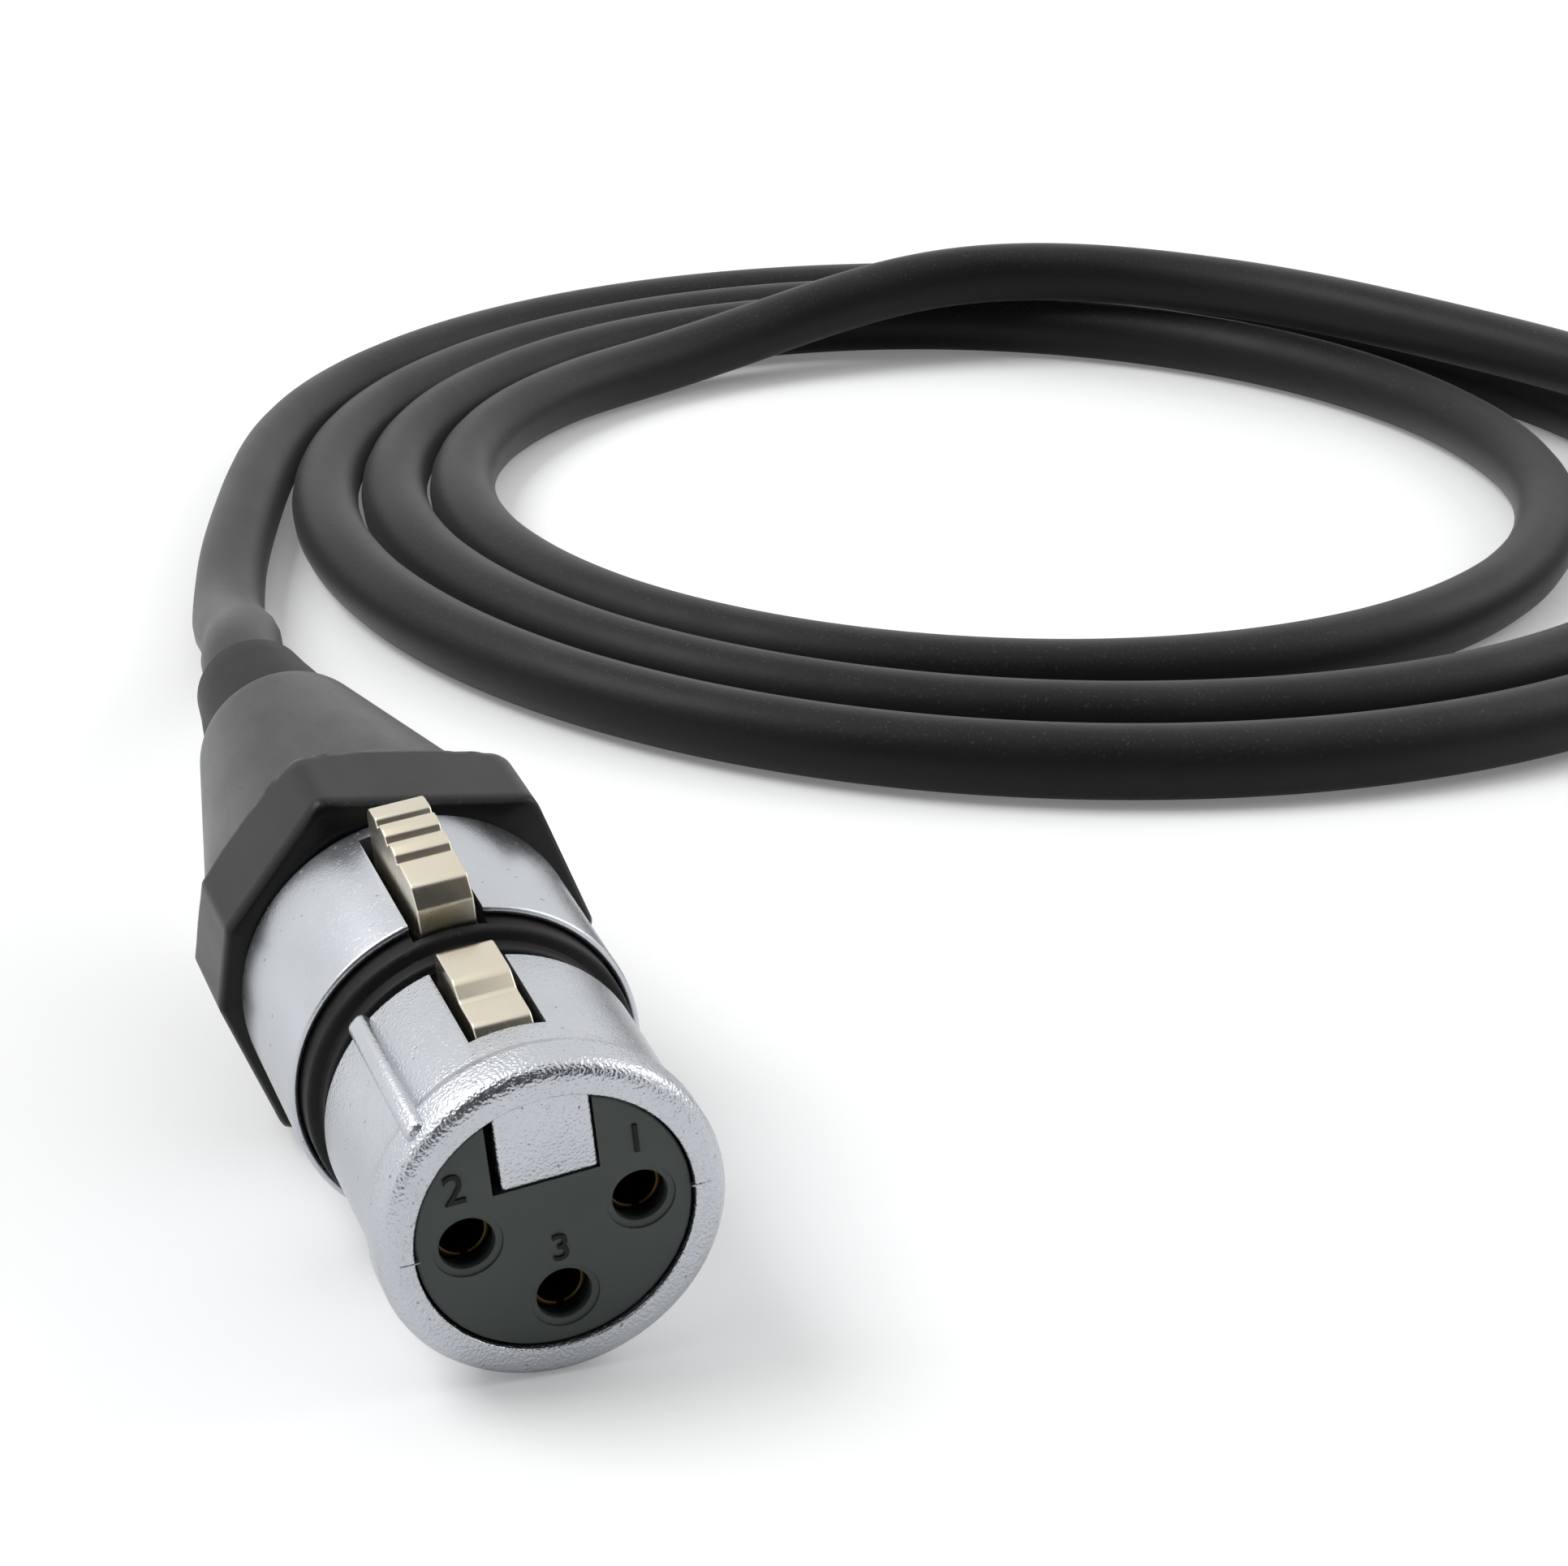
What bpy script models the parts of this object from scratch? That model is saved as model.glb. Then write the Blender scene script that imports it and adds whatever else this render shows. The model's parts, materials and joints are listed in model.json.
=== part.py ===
"""A coiled microphone cable with a female and a male connector of three contacts.

Metres, +Z up. The floor is z = 0, and the origin lies on it under the middle of the female
connector, whose front face looks along -Y. That connector rests nose down, on the rim of its
nose and on the flats of its boot. Both connectors are modelled lying along +Y in a frame of
their own: Y runs from the front face towards the cable, X to the right and Z up, as seen by
someone who looks into the front face.
"""
from math import acos, atan2, ceil, cos, hypot, pi, radians, sin, sqrt

import bmesh
import bpy
from mathutils import Matrix, Vector

# --- clearances ---------------------------------------------------------------------------
SEAT_GAP = 0.0003          # between faces that rest on each other
BORE_GAP = 0.00012         # around a piece that is pushed into a bore
CABLE_GAP = 0.0003         # around the jacket, in the chuck and in the gland
SLOT_GAP = 0.0005          # each side of the latch, in the slot of the shell
SLOT_FRONT_GAP = 0.0003    # in front of the latch
SLOT_REAR_GAP = 0.0009     # behind the button, which swings back when it is pressed
CHANNEL_GAP = 0.0006       # each side of the latch, in the channel of the insert
OVERCUT = 0.001            # how far a cutter reaches past the face it opens
CUT_MARGIN = 0.0001

# --- both connectors ----------------------------------------------------------------------
BORE_RADIUS = 0.0076       # of both shells, around the insert
INSERT_LENGTH = 0.0217
CONTACT_MARGIN = 0.00118   # plastic between a contact's seat and the edge of the insert
CONTACT_PLACES = {1: 0.0, 2: 180.0, 3: 270.0}   # degrees from +X, seen from the female face
CUP_RADIUS = 0.0015        # outside of a solder cup
CUP_BORE = 0.00095
CUP_LENGTH = 0.0026        # behind the insert
PIN_WEB = 0.0006           # how far the bore of a solder cup reaches past its collar
WIRE_RADIUS = 0.0006
WIRE_CIRCLE = 0.0012       # radius on which the three wires leave the jacket
WIRE_RUN = 0.0085          # from the solder cups back to the jacket
WIRE_STRAIGHT = 0.0010     # straight run at each end of a wire
CABLE_RADIUS = 0.00275

REAR_WALL = 0.0022         # of the sleeve, behind the push button
THREAD_WALL = 0.0010
THREAD_LENGTH = 0.0118
THREAD_CHAMFER = 0.0004
CHUCK_LENGTH = 0.0130
CHUCK_WALL = 0.0015        # at the chuck's open front, around the wires
CHUCK_MOUTH_DEPTH = 0.0060
CHUCK_TAPER = 0.0021       # how much the chuck narrows at the rear
CHUCK_OVERHANG = 0.0015    # from the thread's end to the chuck's rear
CHUCK_SLOPE = 0.0020       # length of its mouth's funnel, and of its rear cone inside the thread

COLLAR_WALL = 0.0019       # from the thread to the top and bottom wrench flats
COLLAR_HALF_FLAT = 0.0064  # half the width of these flats
COLLAR_SIDE_WALL = 0.0023  # from the thread to the side flats
COLLAR_HALF_SIDE = 0.0025
COLLAR_LENGTH = 0.0067
COLLAR_CHAMFER = 0.0007
COLLAR_WANE = 0.0006       # how much the corners of the collar fall off to the rear
BOOT_LENGTH = 0.0297       # from the collar's front to the shoulder
BOOT_NECK_WALL = 0.0016    # from the thread to the surface right behind the collar
BOOT_END_WALL = 0.0005     # around the gland, at the rear end
BOOT_STEP = 0.0007         # length of the slope from the collar down to the neck
BOOT_SAG = 0.0003          # how far the taper is hollowed in its middle
BOOT_EDGE = 0.0003
GLAND_LENGTH = 0.0210
GLAND_INSIDE = 0.0120      # how far the gland reaches into the boot
GLAND_WALL = 0.0019
GLAND_FLANGE = 0.0010      # how far its flange stands out, inside the boot
GLAND_FLANGE_LENGTH = 0.0034
GLAND_SLOPE = 0.0003       # behind its flange
GLAND_TIP_WALL = 0.00065   # where the cable leaves

# --- female connector ---------------------------------------------------------------------
BARREL_WALL = 0.00145      # of the nose behind its rim
RIM_HEIGHT = 0.0004        # of the nose's rim above its barrel
RIM_ROUND = 0.0012         # rounding of the nose's front edge
RIM_LENGTH = 0.0030
RIM_FALL = 0.0006          # length of the slope at its rear
GROOVE_FRONT = 0.0129
GROOVE_WIDTH = 0.00355     # from there to the sleeve's lip
LIP_WALL = 0.0005
LIP_DEPTH = 0.0036         # of the undercut below the lip
LIP_BEAD = 0.00015         # how far the lip's rounded edge stands forward
LIP_RISE = 0.0004          # length of the slope from that edge to the sleeve
SLEEVE_EDGE = 0.0003
EDGE = 0.0002              # of the small broken edges
CORE_WALL = 0.0004         # of the shell's core in the groove
SLEEVE_WALL = 0.0024
SEAL_WALL = 0.00062
SEAL_FRONT = 0.0011        # distance of the seal ring from the groove's front edge
TAB_HALF_WIDTH = 0.0026    # key tab, in line with the nose's face
TAB_FLOOR = 0.0028         # its lower edge, from the axis
TAB_LENGTH = 0.0048
TAB_GAP = 0.00018
RIB_ANGLE = -42.0          # guide rib, degrees from the top towards +X
RIB_WIDTH = 0.0013
RIB_HEIGHT = 0.0008        # above the barrel
RIB_SINK = 0.0004          # its root, from the groove's floor
ENTRY_RADIUS = 0.00145     # contact holes in the insert's face
ENTRY_DEPTH = 0.0011
FACE_INSET = 0.0003        # of the insert's face behind the nose's
SOCKET_RADIUS = 0.0016     # outside of a female contact
SOCKET_BORE = 0.00125
SOCKET_DEPTH = 0.0125
CONTACT_TAIL = 0.0010      # its solder cup starts this far inside the insert

LATCH_WIDTH = 0.0032
LATCH_FRONT = 0.0055
LATCH_STEP = 0.0088        # from the tooth's low front to its high flat
LATCH_TOOTH_REAR = 0.0133
TOOTH_LOW = 0.00005        # the tooth's low front above the barrel
TOOTH_HIGH = 0.00085       # its high flat above the barrel
LATCH_DEPTH = 0.0015       # from the bore to the underside of the latch
BUTTON_FRONT = 0.0160
BUTTON_LENGTH = 0.0100
BUTTON_LOW = 0.0019        # the button's front edge above the sleeve
BUTTON_HIGH = 0.0026       # its rear end above the sleeve
BUTTON_RAMP = 0.0009       # the slope from the button's front face to its top
BUTTON_BACK = 0.0008       # the slope at its rear end
RIDGES = 4
RIDGE_DEPTH = 0.00036
VALLEY_HALF = 0.0005       # half the width of the valleys between the ridges
TOOTH_EDGE = 0.0003
TOOTH_ROUND = 0.0005        # at the tooth's front
TOOTH_FACE = 0.0013         # height of its front face
STEP_SLOPE = 0.0004
LATCH_CORNER = 0.0006
CHANNEL_DEPTH = 0.0027     # of the insert's channel, below the latch
HINGE_Y = 0.0066
HINGE_DEPTH = 0.0020       # from the bore to the hinge
LUG_WALL = 0.0006          # around the hinge pin
LUG_REACH = 1.6            # lug radii from the hinge to where its rear slope ends
HINGE_PIN_RADIUS = 0.0005
HINGE_PIN_HOLD = 0.0010    # how far the pin reaches into each wall of the channel
SPRING_Y = 0.0200
SPRING_RADIUS = 0.0010     # of the wire's centre line
SPRING_WIRE = 0.0002
SPRING_TURNS = 3
SPRING_SIDES = 10          # points in one of its turns

SHELL_ROLL = -7.94         # degrees about the axis: the top leans to -X
COLLAR_ROLL = 6.0          # the collar of the boot leans the other way

# --- male connector -----------------------------------------------------------------------
CUP_MATING_GAP = 0.0001    # around the rim of the mating nose
CUP_WALL = 0.00095
CUP_DEPTH = 0.0150
CUP_EDGE = 0.0004
CUP_SHOULDER = 0.0006
PIN_RADIUS = 0.0012
PIN_LENGTH = 0.0125        # in front of the insert
PIN_TIP = 0.0006
FLANGE_LENGTH = 0.0012     # of the insert, on the shoulder of the shell
WINDOW_GAP = 0.0006        # around the latch tooth of the mating connector
GUIDE_GAP = 0.0003         # around its guide rib
GUIDE_END = 0.0010         # from the end of its groove to the insert
PLUG_PLACE = (0.1400, -0.0222)     # x and y of its front face

# --- cable, on the floor ------------------------------------------------------------------
FLOOR_LIFT = 0.00002
COIL_CENTRE = (0.0800, 0.0886)
COIL_INSIDE = 0.0420
COIL_OUTSIDE = 0.0670
COIL_EDGE = 0.0012
LEAD_ROUTE = [             # centre line from the female connector to the coil
    (0.0022, 0.0460, 0.0119),
    (0.0043, 0.0580, 0.0081),
    (0.0061, 0.0690, 0.0046),
    (0.0078, 0.0768, 0.0030),
    (0.0098, 0.0850, 0.0028),
]
TAIL_ROUTE = [             # from the top of the coil to the male connector
    (0.0895, 0.1360, 0.0087),
    (0.1014, 0.1318, 0.0087),
    (0.1120, 0.1245, 0.0087),
    (0.1206, 0.1148, 0.0087),
    (0.1268, 0.1049, 0.0087),
    (0.1322, 0.0945, 0.0087),
    (0.1359, 0.0845, 0.0087),
    (0.1382, 0.0744, 0.0087),
    (0.1394, 0.0650, 0.0088),
    (0.1399, 0.0575, 0.0094),
]
LEAD_STRAIGHT = 0.0040     # out of the female connector, before the route
TAIL_STRAIGHT = 0.0050     # into the male connector
CORD_STEP = 2.2            # cable diameters between the points of a tube

# --- how round things are drawn -----------------------------------------------------------
STEPS_SHELL = 48
STEPS_INNER = 32
STEPS_CONTACT = 14
STEPS_COIL = 48
STEPS_CABLE_END = 16
SMOOTH_ANGLE = 35.0        # degrees, above which an edge stays sharp

# --- sizes that follow --------------------------------------------------------------------
INSERT_RADIUS = BORE_RADIUS - BORE_GAP
CONTACT_CIRCLE = INSERT_RADIUS - CONTACT_MARGIN - SOCKET_RADIUS
THREAD_RADIUS = BORE_RADIUS + THREAD_WALL
BARREL_RADIUS = BORE_RADIUS + BARREL_WALL
NOSE_RADIUS = BARREL_RADIUS + RIM_HEIGHT
SLEEVE_RADIUS = BORE_RADIUS + SLEEVE_WALL
INSERT_REAR = FACE_INSET + INSERT_LENGTH
CORE_RADIUS = BORE_RADIUS + CORE_WALL
LIP_FRONT = GROOVE_FRONT + GROOVE_WIDTH
LIP_REAR = LIP_FRONT + LIP_DEPTH
LIP_INSIDE = SLEEVE_RADIUS - LIP_WALL
SEAL_RADIUS = CORE_RADIUS + 0.5 * BORE_GAP
LATCH_REAR = BUTTON_FRONT + BUTTON_LENGTH
SLEEVE_REAR = LATCH_REAR + REAR_WALL
THREAD_END = SLEEVE_REAR + THREAD_LENGTH
CHUCK_REAR = THREAD_END + CHUCK_OVERHANG
CHUCK_FRONT = CHUCK_REAR - CHUCK_LENGTH
CHUCK_RADIUS = BORE_RADIUS - SEAT_GAP
CHUCK_MOUTH = CHUCK_RADIUS - CHUCK_WALL
CHUCK_CONE = CHUCK_RADIUS - CHUCK_TAPER
JACKET_HOLE = CABLE_RADIUS + CABLE_GAP
CUP_REAR = INSERT_REAR + CUP_LENGTH
CUP_FLOOR = INSERT_REAR + SEAT_GAP - PIN_WEB
JACKET_FRONT = CUP_REAR + WIRE_RUN
COLLAR_FRONT = SLEEVE_REAR + SEAT_GAP
COLLAR_REAR = COLLAR_FRONT + COLLAR_LENGTH
COLLAR_APOTHEM = THREAD_RADIUS + COLLAR_WALL
COLLAR_SIDE = THREAD_RADIUS + COLLAR_SIDE_WALL
COLLAR_CORNER = hypot(COLLAR_APOTHEM, COLLAR_HALF_FLAT)
BOOT_REAR = COLLAR_FRONT + BOOT_LENGTH
GLAND_RADIUS = JACKET_HOLE + GLAND_WALL
GLAND_TIP = JACKET_HOLE + GLAND_TIP_WALL
BOOT_NECK = THREAD_RADIUS + BOOT_NECK_WALL
BOOT_SHOULDER = GLAND_RADIUS + SEAT_GAP + BOOT_END_WALL
GLAND_REAR = BOOT_REAR - GLAND_INSIDE + GLAND_LENGTH
LATCH_HALF = 0.5 * LATCH_WIDTH
LATCH_LOW = BARREL_RADIUS + TOOTH_LOW
LATCH_HIGH = BARREL_RADIUS + TOOTH_HIGH
LATCH_BOTTOM = BORE_RADIUS - LATCH_DEPTH
BUTTON_EDGE = SLEEVE_RADIUS + BUTTON_LOW
BUTTON_TOP = SLEEVE_RADIUS + BUTTON_HIGH
HINGE_Z = BORE_RADIUS - HINGE_DEPTH
CHANNEL_FLOOR = LATCH_BOTTOM - CHANNEL_DEPTH
LATCH_BRIDGE = sqrt(SEAL_RADIUS ** 2 - LATCH_HALF ** 2) - SEAT_GAP
SLOT_HALF = LATCH_HALF + SLOT_GAP
SLOT_FRONT = LATCH_FRONT - SLOT_FRONT_GAP
SLOT_REAR = LATCH_REAR + SLOT_REAR_GAP
CHANNEL_HALF = LATCH_HALF + CHANNEL_GAP
HINGE_PIN_HALF = CHANNEL_HALF + HINGE_PIN_HOLD
CUP_INSIDE = NOSE_RADIUS + CUP_MATING_GAP
CUP_OUTSIDE = CUP_INSIDE + CUP_WALL

# The nose's rim and the collar's front edge both touch the floor, and this gives the tilt.
COLLAR_LOW = COLLAR_APOTHEM * cos(radians(COLLAR_ROLL)) + COLLAR_HALF_FLAT * sin(radians(COLLAR_ROLL))
RIM_CENTRE = NOSE_RADIUS - RIM_ROUND
RISE = COLLAR_LOW - RIM_CENTRE
RUN = COLLAR_FRONT + 0.5 * COLLAR_CHAMFER - RIM_ROUND
TILT = acos(RIM_ROUND / hypot(RISE, RUN)) - atan2(RUN, RISE)
NOSE_HEIGHT = RIM_ROUND + RIM_CENTRE * cos(TILT) - RIM_ROUND * sin(TILT) + FLOOR_LIFT
SOCKET_BACK = GLAND_REAR * cos(TILT) + GLAND_TIP * sin(TILT)
SOCKET_FRONT = -RIM_CENTRE * sin(TILT)
NOSE_Y = -0.5 * (SOCKET_BACK + SOCKET_FRONT)
PLUG_HEIGHT = COLLAR_APOTHEM + FLOOR_LIFT

parts = None
cutters = None


# --- the scene ----------------------------------------------------------------------------
def clear_scene():
    for thing in list(bpy.data.objects):
        bpy.data.objects.remove(thing, do_unlink=True)


def new_collection(name):
    group = bpy.data.collections.new(name)
    bpy.context.scene.collection.children.link(group)
    return group


def finish(name, colour, roughness, metallic=0.0):
    material = bpy.data.materials.new(name)
    material.use_nodes = True
    shader = material.node_tree.nodes["Principled BSDF"]
    shader.inputs["Base Color"].default_value = (*colour, 1.0)
    shader.inputs["Roughness"].default_value = roughness
    shader.inputs["Metallic"].default_value = metallic
    return material


def empty(name, location, rotation, parent=None):
    holder = bpy.data.objects.new(name, None)
    bpy.context.scene.collection.objects.link(holder)
    holder.location = location
    holder.rotation_euler = rotation
    holder.parent = parent
    return holder


def place(name, mesh, parent, material=None):
    """A part when it has a material, else a cutter."""
    thing = bpy.data.objects.new(name, mesh)
    if material is None:
        cutters.objects.link(thing)
        thing.hide_render = True
        thing.display_type = "WIRE"
    else:
        parts.objects.link(thing)
        mesh.materials.append(material)
        mesh.shade_smooth()
        mesh.set_sharp_from_angle(angle=radians(SMOOTH_ANGLE))
    thing.parent = parent
    return thing


# --- shapes -------------------------------------------------------------------------------
def evaluated_mesh(thing):
    graph = bpy.context.evaluated_depsgraph_get()
    mesh = bpy.data.meshes.new_from_object(thing.evaluated_get(graph))
    bpy.data.objects.remove(thing, do_unlink=True)
    return mesh


def turned(name, outer, inner, parent, material=None, steps=STEPS_INNER):
    """Turns a section about Y. Both lists run from front to rear as (radius, y); a solid piece
    has no inner list, and its outer one starts and ends on the axis."""
    points = list(reversed(outer)) + list(inner)
    edges = [(i, i + 1) for i in range(len(points) - 1)]
    if inner:
        edges.append((len(points) - 1, 0))
    section = bpy.data.meshes.new(name + "_section")
    section.from_pydata([(r, y, 0.0) for r, y in points], edges, [])
    sketch = bpy.data.objects.new(name + "_section", section)
    cutters.objects.link(sketch)
    screw = sketch.modifiers.new("Turn", "SCREW")
    screw.axis = "Y"
    screw.steps = steps
    screw.render_steps = steps
    screw.use_merge_vertices = True
    screw.merge_threshold = 0.000001
    return place(name, evaluated_mesh(sketch), parent, material)


def box(name, low, high, parent, material=None):
    low, high = Vector(low), Vector(high)
    shape = bmesh.new()
    size = Matrix.Diagonal((*(high - low), 1.0))
    bmesh.ops.create_cube(shape, size=1.0, matrix=Matrix.Translation((low + high) / 2) @ size)
    mesh = bpy.data.meshes.new(name)
    shape.to_mesh(mesh)
    shape.free()
    return place(name, mesh, parent, material)


def rod(name, radius, start, end, parent, material=None, steps=STEPS_CONTACT, tip=None):
    """A cylinder between two points, or a cone where tip is its radius at the start."""
    start, end = Vector(start), Vector(end)
    along = end - start
    turn = along.to_track_quat("Z", "Y").to_matrix().to_4x4()
    shape = bmesh.new()
    bmesh.ops.create_cone(
        shape, cap_ends=True, segments=steps, radius1=radius if tip is None else tip,
        radius2=radius, depth=along.length, matrix=Matrix.Translation((start + end) / 2) @ turn)
    mesh = bpy.data.meshes.new(name)
    shape.to_mesh(mesh)
    shape.free()
    return place(name, mesh, parent, material)


def plate(name, outline, thickness, turn, parent, material=None):
    """A flat outline with its thickness centred on it, turned into the connector's frame."""
    curve = bpy.data.curves.new(name, "CURVE")
    curve.dimensions = "2D"
    curve.fill_mode = "BOTH"
    curve.extrude = 0.5 * thickness
    spline = curve.splines.new("POLY")
    spline.points.add(len(outline) - 1)
    for point, (u, v) in zip(spline.points, outline):
        point.co = (u, v, 0.0, 1.0)
    spline.use_cyclic_u = True
    sketch = bpy.data.objects.new(name + "_outline", curve)
    cutters.objects.link(sketch)
    mesh = evaluated_mesh(sketch)
    bpy.data.curves.remove(curve)
    shape = bmesh.new()
    shape.from_mesh(mesh)
    bmesh.ops.remove_doubles(shape, verts=shape.verts, dist=0.000005)
    bmesh.ops.transform(shape, matrix=turn, verts=shape.verts)
    bmesh.ops.recalc_face_normals(shape, faces=shape.faces)
    shape.to_mesh(mesh)
    shape.free()
    return place(name, mesh, parent, material)


def tube(name, points, radius, parent, material, resolution=2):
    curve = bpy.data.curves.new(name, "CURVE")
    curve.dimensions = "3D"
    curve.bevel_depth = radius
    curve.bevel_resolution = resolution
    curve.use_fill_caps = True
    spline = curve.splines.new("POLY")
    spline.points.add(len(points) - 1)
    for point, place_ in zip(spline.points, points):
        point.co = (*place_, 1.0)
    curve.materials.append(material)
    thing = bpy.data.objects.new(name, curve)
    parts.objects.link(thing)
    thing.parent = parent
    return thing


def smooth_path(route, step):
    """Points every step or so along a smooth curve through the route."""
    knots = [Vector(p) for p in route]
    knots = [2 * knots[0] - knots[1]] + knots + [2 * knots[-1] - knots[-2]]
    path = [knots[1]]
    for a, b, c, d in zip(knots, knots[1:], knots[2:], knots[3:]):
        pieces = max(1, ceil((c - b).length / step))
        for i in range(1, pieces + 1):
            t = i / pieces
            path.append(0.5 * (2 * b + (c - a) * t + (2 * a - 5 * b + 4 * c - d) * t ** 2
                               + (3 * b - a - 3 * c + d) * t ** 3))
    return path


def arc(centre, radius, start, stop, steps):
    """Points (radius, y) on an arc; 0 degrees looks outwards and 90 degrees to the rear."""
    points = []
    for i in range(steps + 1):
        angle = radians(start + (stop - start) * i / steps)
        points.append((centre[0] + radius * cos(angle), centre[1] + radius * sin(angle)))
    return points


def change(piece, cutter, operation="DIFFERENCE"):
    step = piece.modifiers.new(cutter.name, "BOOLEAN")
    step.operation = operation
    step.object = cutter
    step.solver = "EXACT"


def on_circle(radius, degrees, y=0.0):
    return Vector((radius * cos(radians(degrees)), y, radius * sin(radians(degrees))))


def mirrored(degrees):
    """The same contact, seen in the face of the mating connector."""
    return 180.0 - degrees


# --- pieces that both connectors have -----------------------------------------------------
def chuck(prefix, frame, material):
    mouth_rear = CHUCK_FRONT + CHUCK_MOUTH_DEPTH
    cone = THREAD_END - CHUCK_SLOPE
    outer = [(CHUCK_RADIUS, CHUCK_FRONT), (CHUCK_RADIUS, cone), (CHUCK_CONE, CHUCK_REAR)]
    inner = [(CHUCK_MOUTH, CHUCK_FRONT), (CHUCK_MOUTH, mouth_rear - CHUCK_SLOPE),
             (JACKET_HOLE, mouth_rear), (JACKET_HOLE, CHUCK_REAR)]
    turned(prefix + "_chuck", outer, inner, frame, material)


def boot(prefix, frame, material):
    """A threaded nut with wrench flats, which runs out into a taper."""
    corner = COLLAR_CORNER + CUT_MARGIN
    outer = [
        (corner - 2 * COLLAR_CHAMFER, COLLAR_FRONT),
        (corner, COLLAR_FRONT + COLLAR_CHAMFER),
        (corner - COLLAR_WANE, COLLAR_REAR - COLLAR_WANE),
        (corner - 2 * COLLAR_WANE, COLLAR_REAR),
        (BOOT_NECK, COLLAR_REAR + BOOT_STEP),
    ]
    taper_front = COLLAR_REAR + BOOT_STEP
    taper = BOOT_REAR - taper_front
    for part in (0.25, 0.5, 0.72, 0.9):
        sag = BOOT_SAG * sin(pi * part)
        outer.append((BOOT_NECK + (BOOT_SHOULDER - BOOT_NECK) * part - sag, taper_front + taper * part))
    outer.append((BOOT_SHOULDER, BOOT_REAR - 2 * BOOT_EDGE))
    outer.append((BOOT_SHOULDER - BOOT_EDGE, BOOT_REAR))
    flange_front = BOOT_REAR - GLAND_INSIDE
    flange_rear = flange_front + GLAND_FLANGE_LENGTH
    hollow = GLAND_RADIUS + GLAND_FLANGE + SEAT_GAP
    inner = [
        (THREAD_RADIUS + SEAT_GAP, COLLAR_FRONT),
        (THREAD_RADIUS + SEAT_GAP, THREAD_END + SEAT_GAP),
        (hollow, CHUCK_REAR + SEAT_GAP),
        (hollow, flange_rear + SEAT_GAP),
        (GLAND_RADIUS + SEAT_GAP, flange_rear + SEAT_GAP + GLAND_SLOPE + CUT_MARGIN),
        (GLAND_RADIUS + SEAT_GAP, BOOT_REAR),
    ]
    piece = turned(prefix + "_boot", outer, inner, frame, material, STEPS_SHELL)
    quarter = [(COLLAR_HALF_FLAT, COLLAR_APOTHEM), (COLLAR_SIDE, COLLAR_HALF_SIDE)]
    outline = quarter + [(x, -z) for x, z in reversed(quarter)]
    outline += [(-x, -z) for x, z in quarter] + [(-x, z) for x, z in reversed(quarter)]
    middle = 0.5 * (COLLAR_FRONT + BOOT_REAR)
    turn = Matrix.Translation((0.0, middle, 0.0)) @ Matrix.Rotation(pi / 2, 4, "X")
    flats = plate(prefix + "_wrench_flats", outline, BOOT_LENGTH + 4 * OVERCUT, turn, frame)
    change(piece, flats, "INTERSECT")


def gland(prefix, frame, material):
    """The rubber tail of the boot, with a flange that the boot holds."""
    front = BOOT_REAR - GLAND_INSIDE
    flange = GLAND_RADIUS + GLAND_FLANGE
    outer = [(flange, front), (flange, front + GLAND_FLANGE_LENGTH),
             (GLAND_RADIUS, front + GLAND_FLANGE_LENGTH + GLAND_SLOPE), (GLAND_RADIUS, BOOT_REAR)]
    free = GLAND_REAR - BOOT_REAR
    for part in (0.35, 0.7):
        outer.append((GLAND_RADIUS + (GLAND_TIP - GLAND_RADIUS) * part ** 1.2, BOOT_REAR + free * part))
    outer.append((GLAND_TIP, GLAND_REAR))
    inner = [(JACKET_HOLE, front), (JACKET_HOLE, GLAND_REAR)]
    turned(prefix + "_boot_gland", outer, inner, frame, material)


def cable_end(prefix, frame, places, jacket, colours):
    """The end of the jacket inside the boot, and the wires to the solder cups."""
    rod(prefix + "_cable_end", CABLE_RADIUS, (0.0, JACKET_FRONT, 0.0), (0.0, GLAND_REAR, 0.0),
        frame, jacket, steps=STEPS_CABLE_END)
    wire_front = CUP_FLOOR + SEAT_GAP
    wire_rear = JACKET_FRONT - SEAT_GAP
    for number, degrees in places.items():
        cup = on_circle(CONTACT_CIRCLE, degrees)
        end = on_circle(WIRE_CIRCLE, degrees)
        route = [cup + Vector((0.0, wire_front, 0.0)), cup + Vector((0.0, CUP_REAR + WIRE_STRAIGHT, 0.0))]
        for part in (0.3, 0.7):
            y = CUP_REAR + WIRE_STRAIGHT + part * (wire_rear - CUP_REAR - 2 * WIRE_STRAIGHT)
            swing = 0.5 - 0.5 * cos(pi * part)
            route.append(cup + (end - cup) * swing + Vector((0.0, y, 0.0)))
        route += [end + Vector((0.0, wire_rear - WIRE_STRAIGHT, 0.0)), end + Vector((0.0, wire_rear, 0.0))]
        tube("%s_wire_%d" % (prefix, number), route, WIRE_RADIUS, frame, colours[number])


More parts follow.
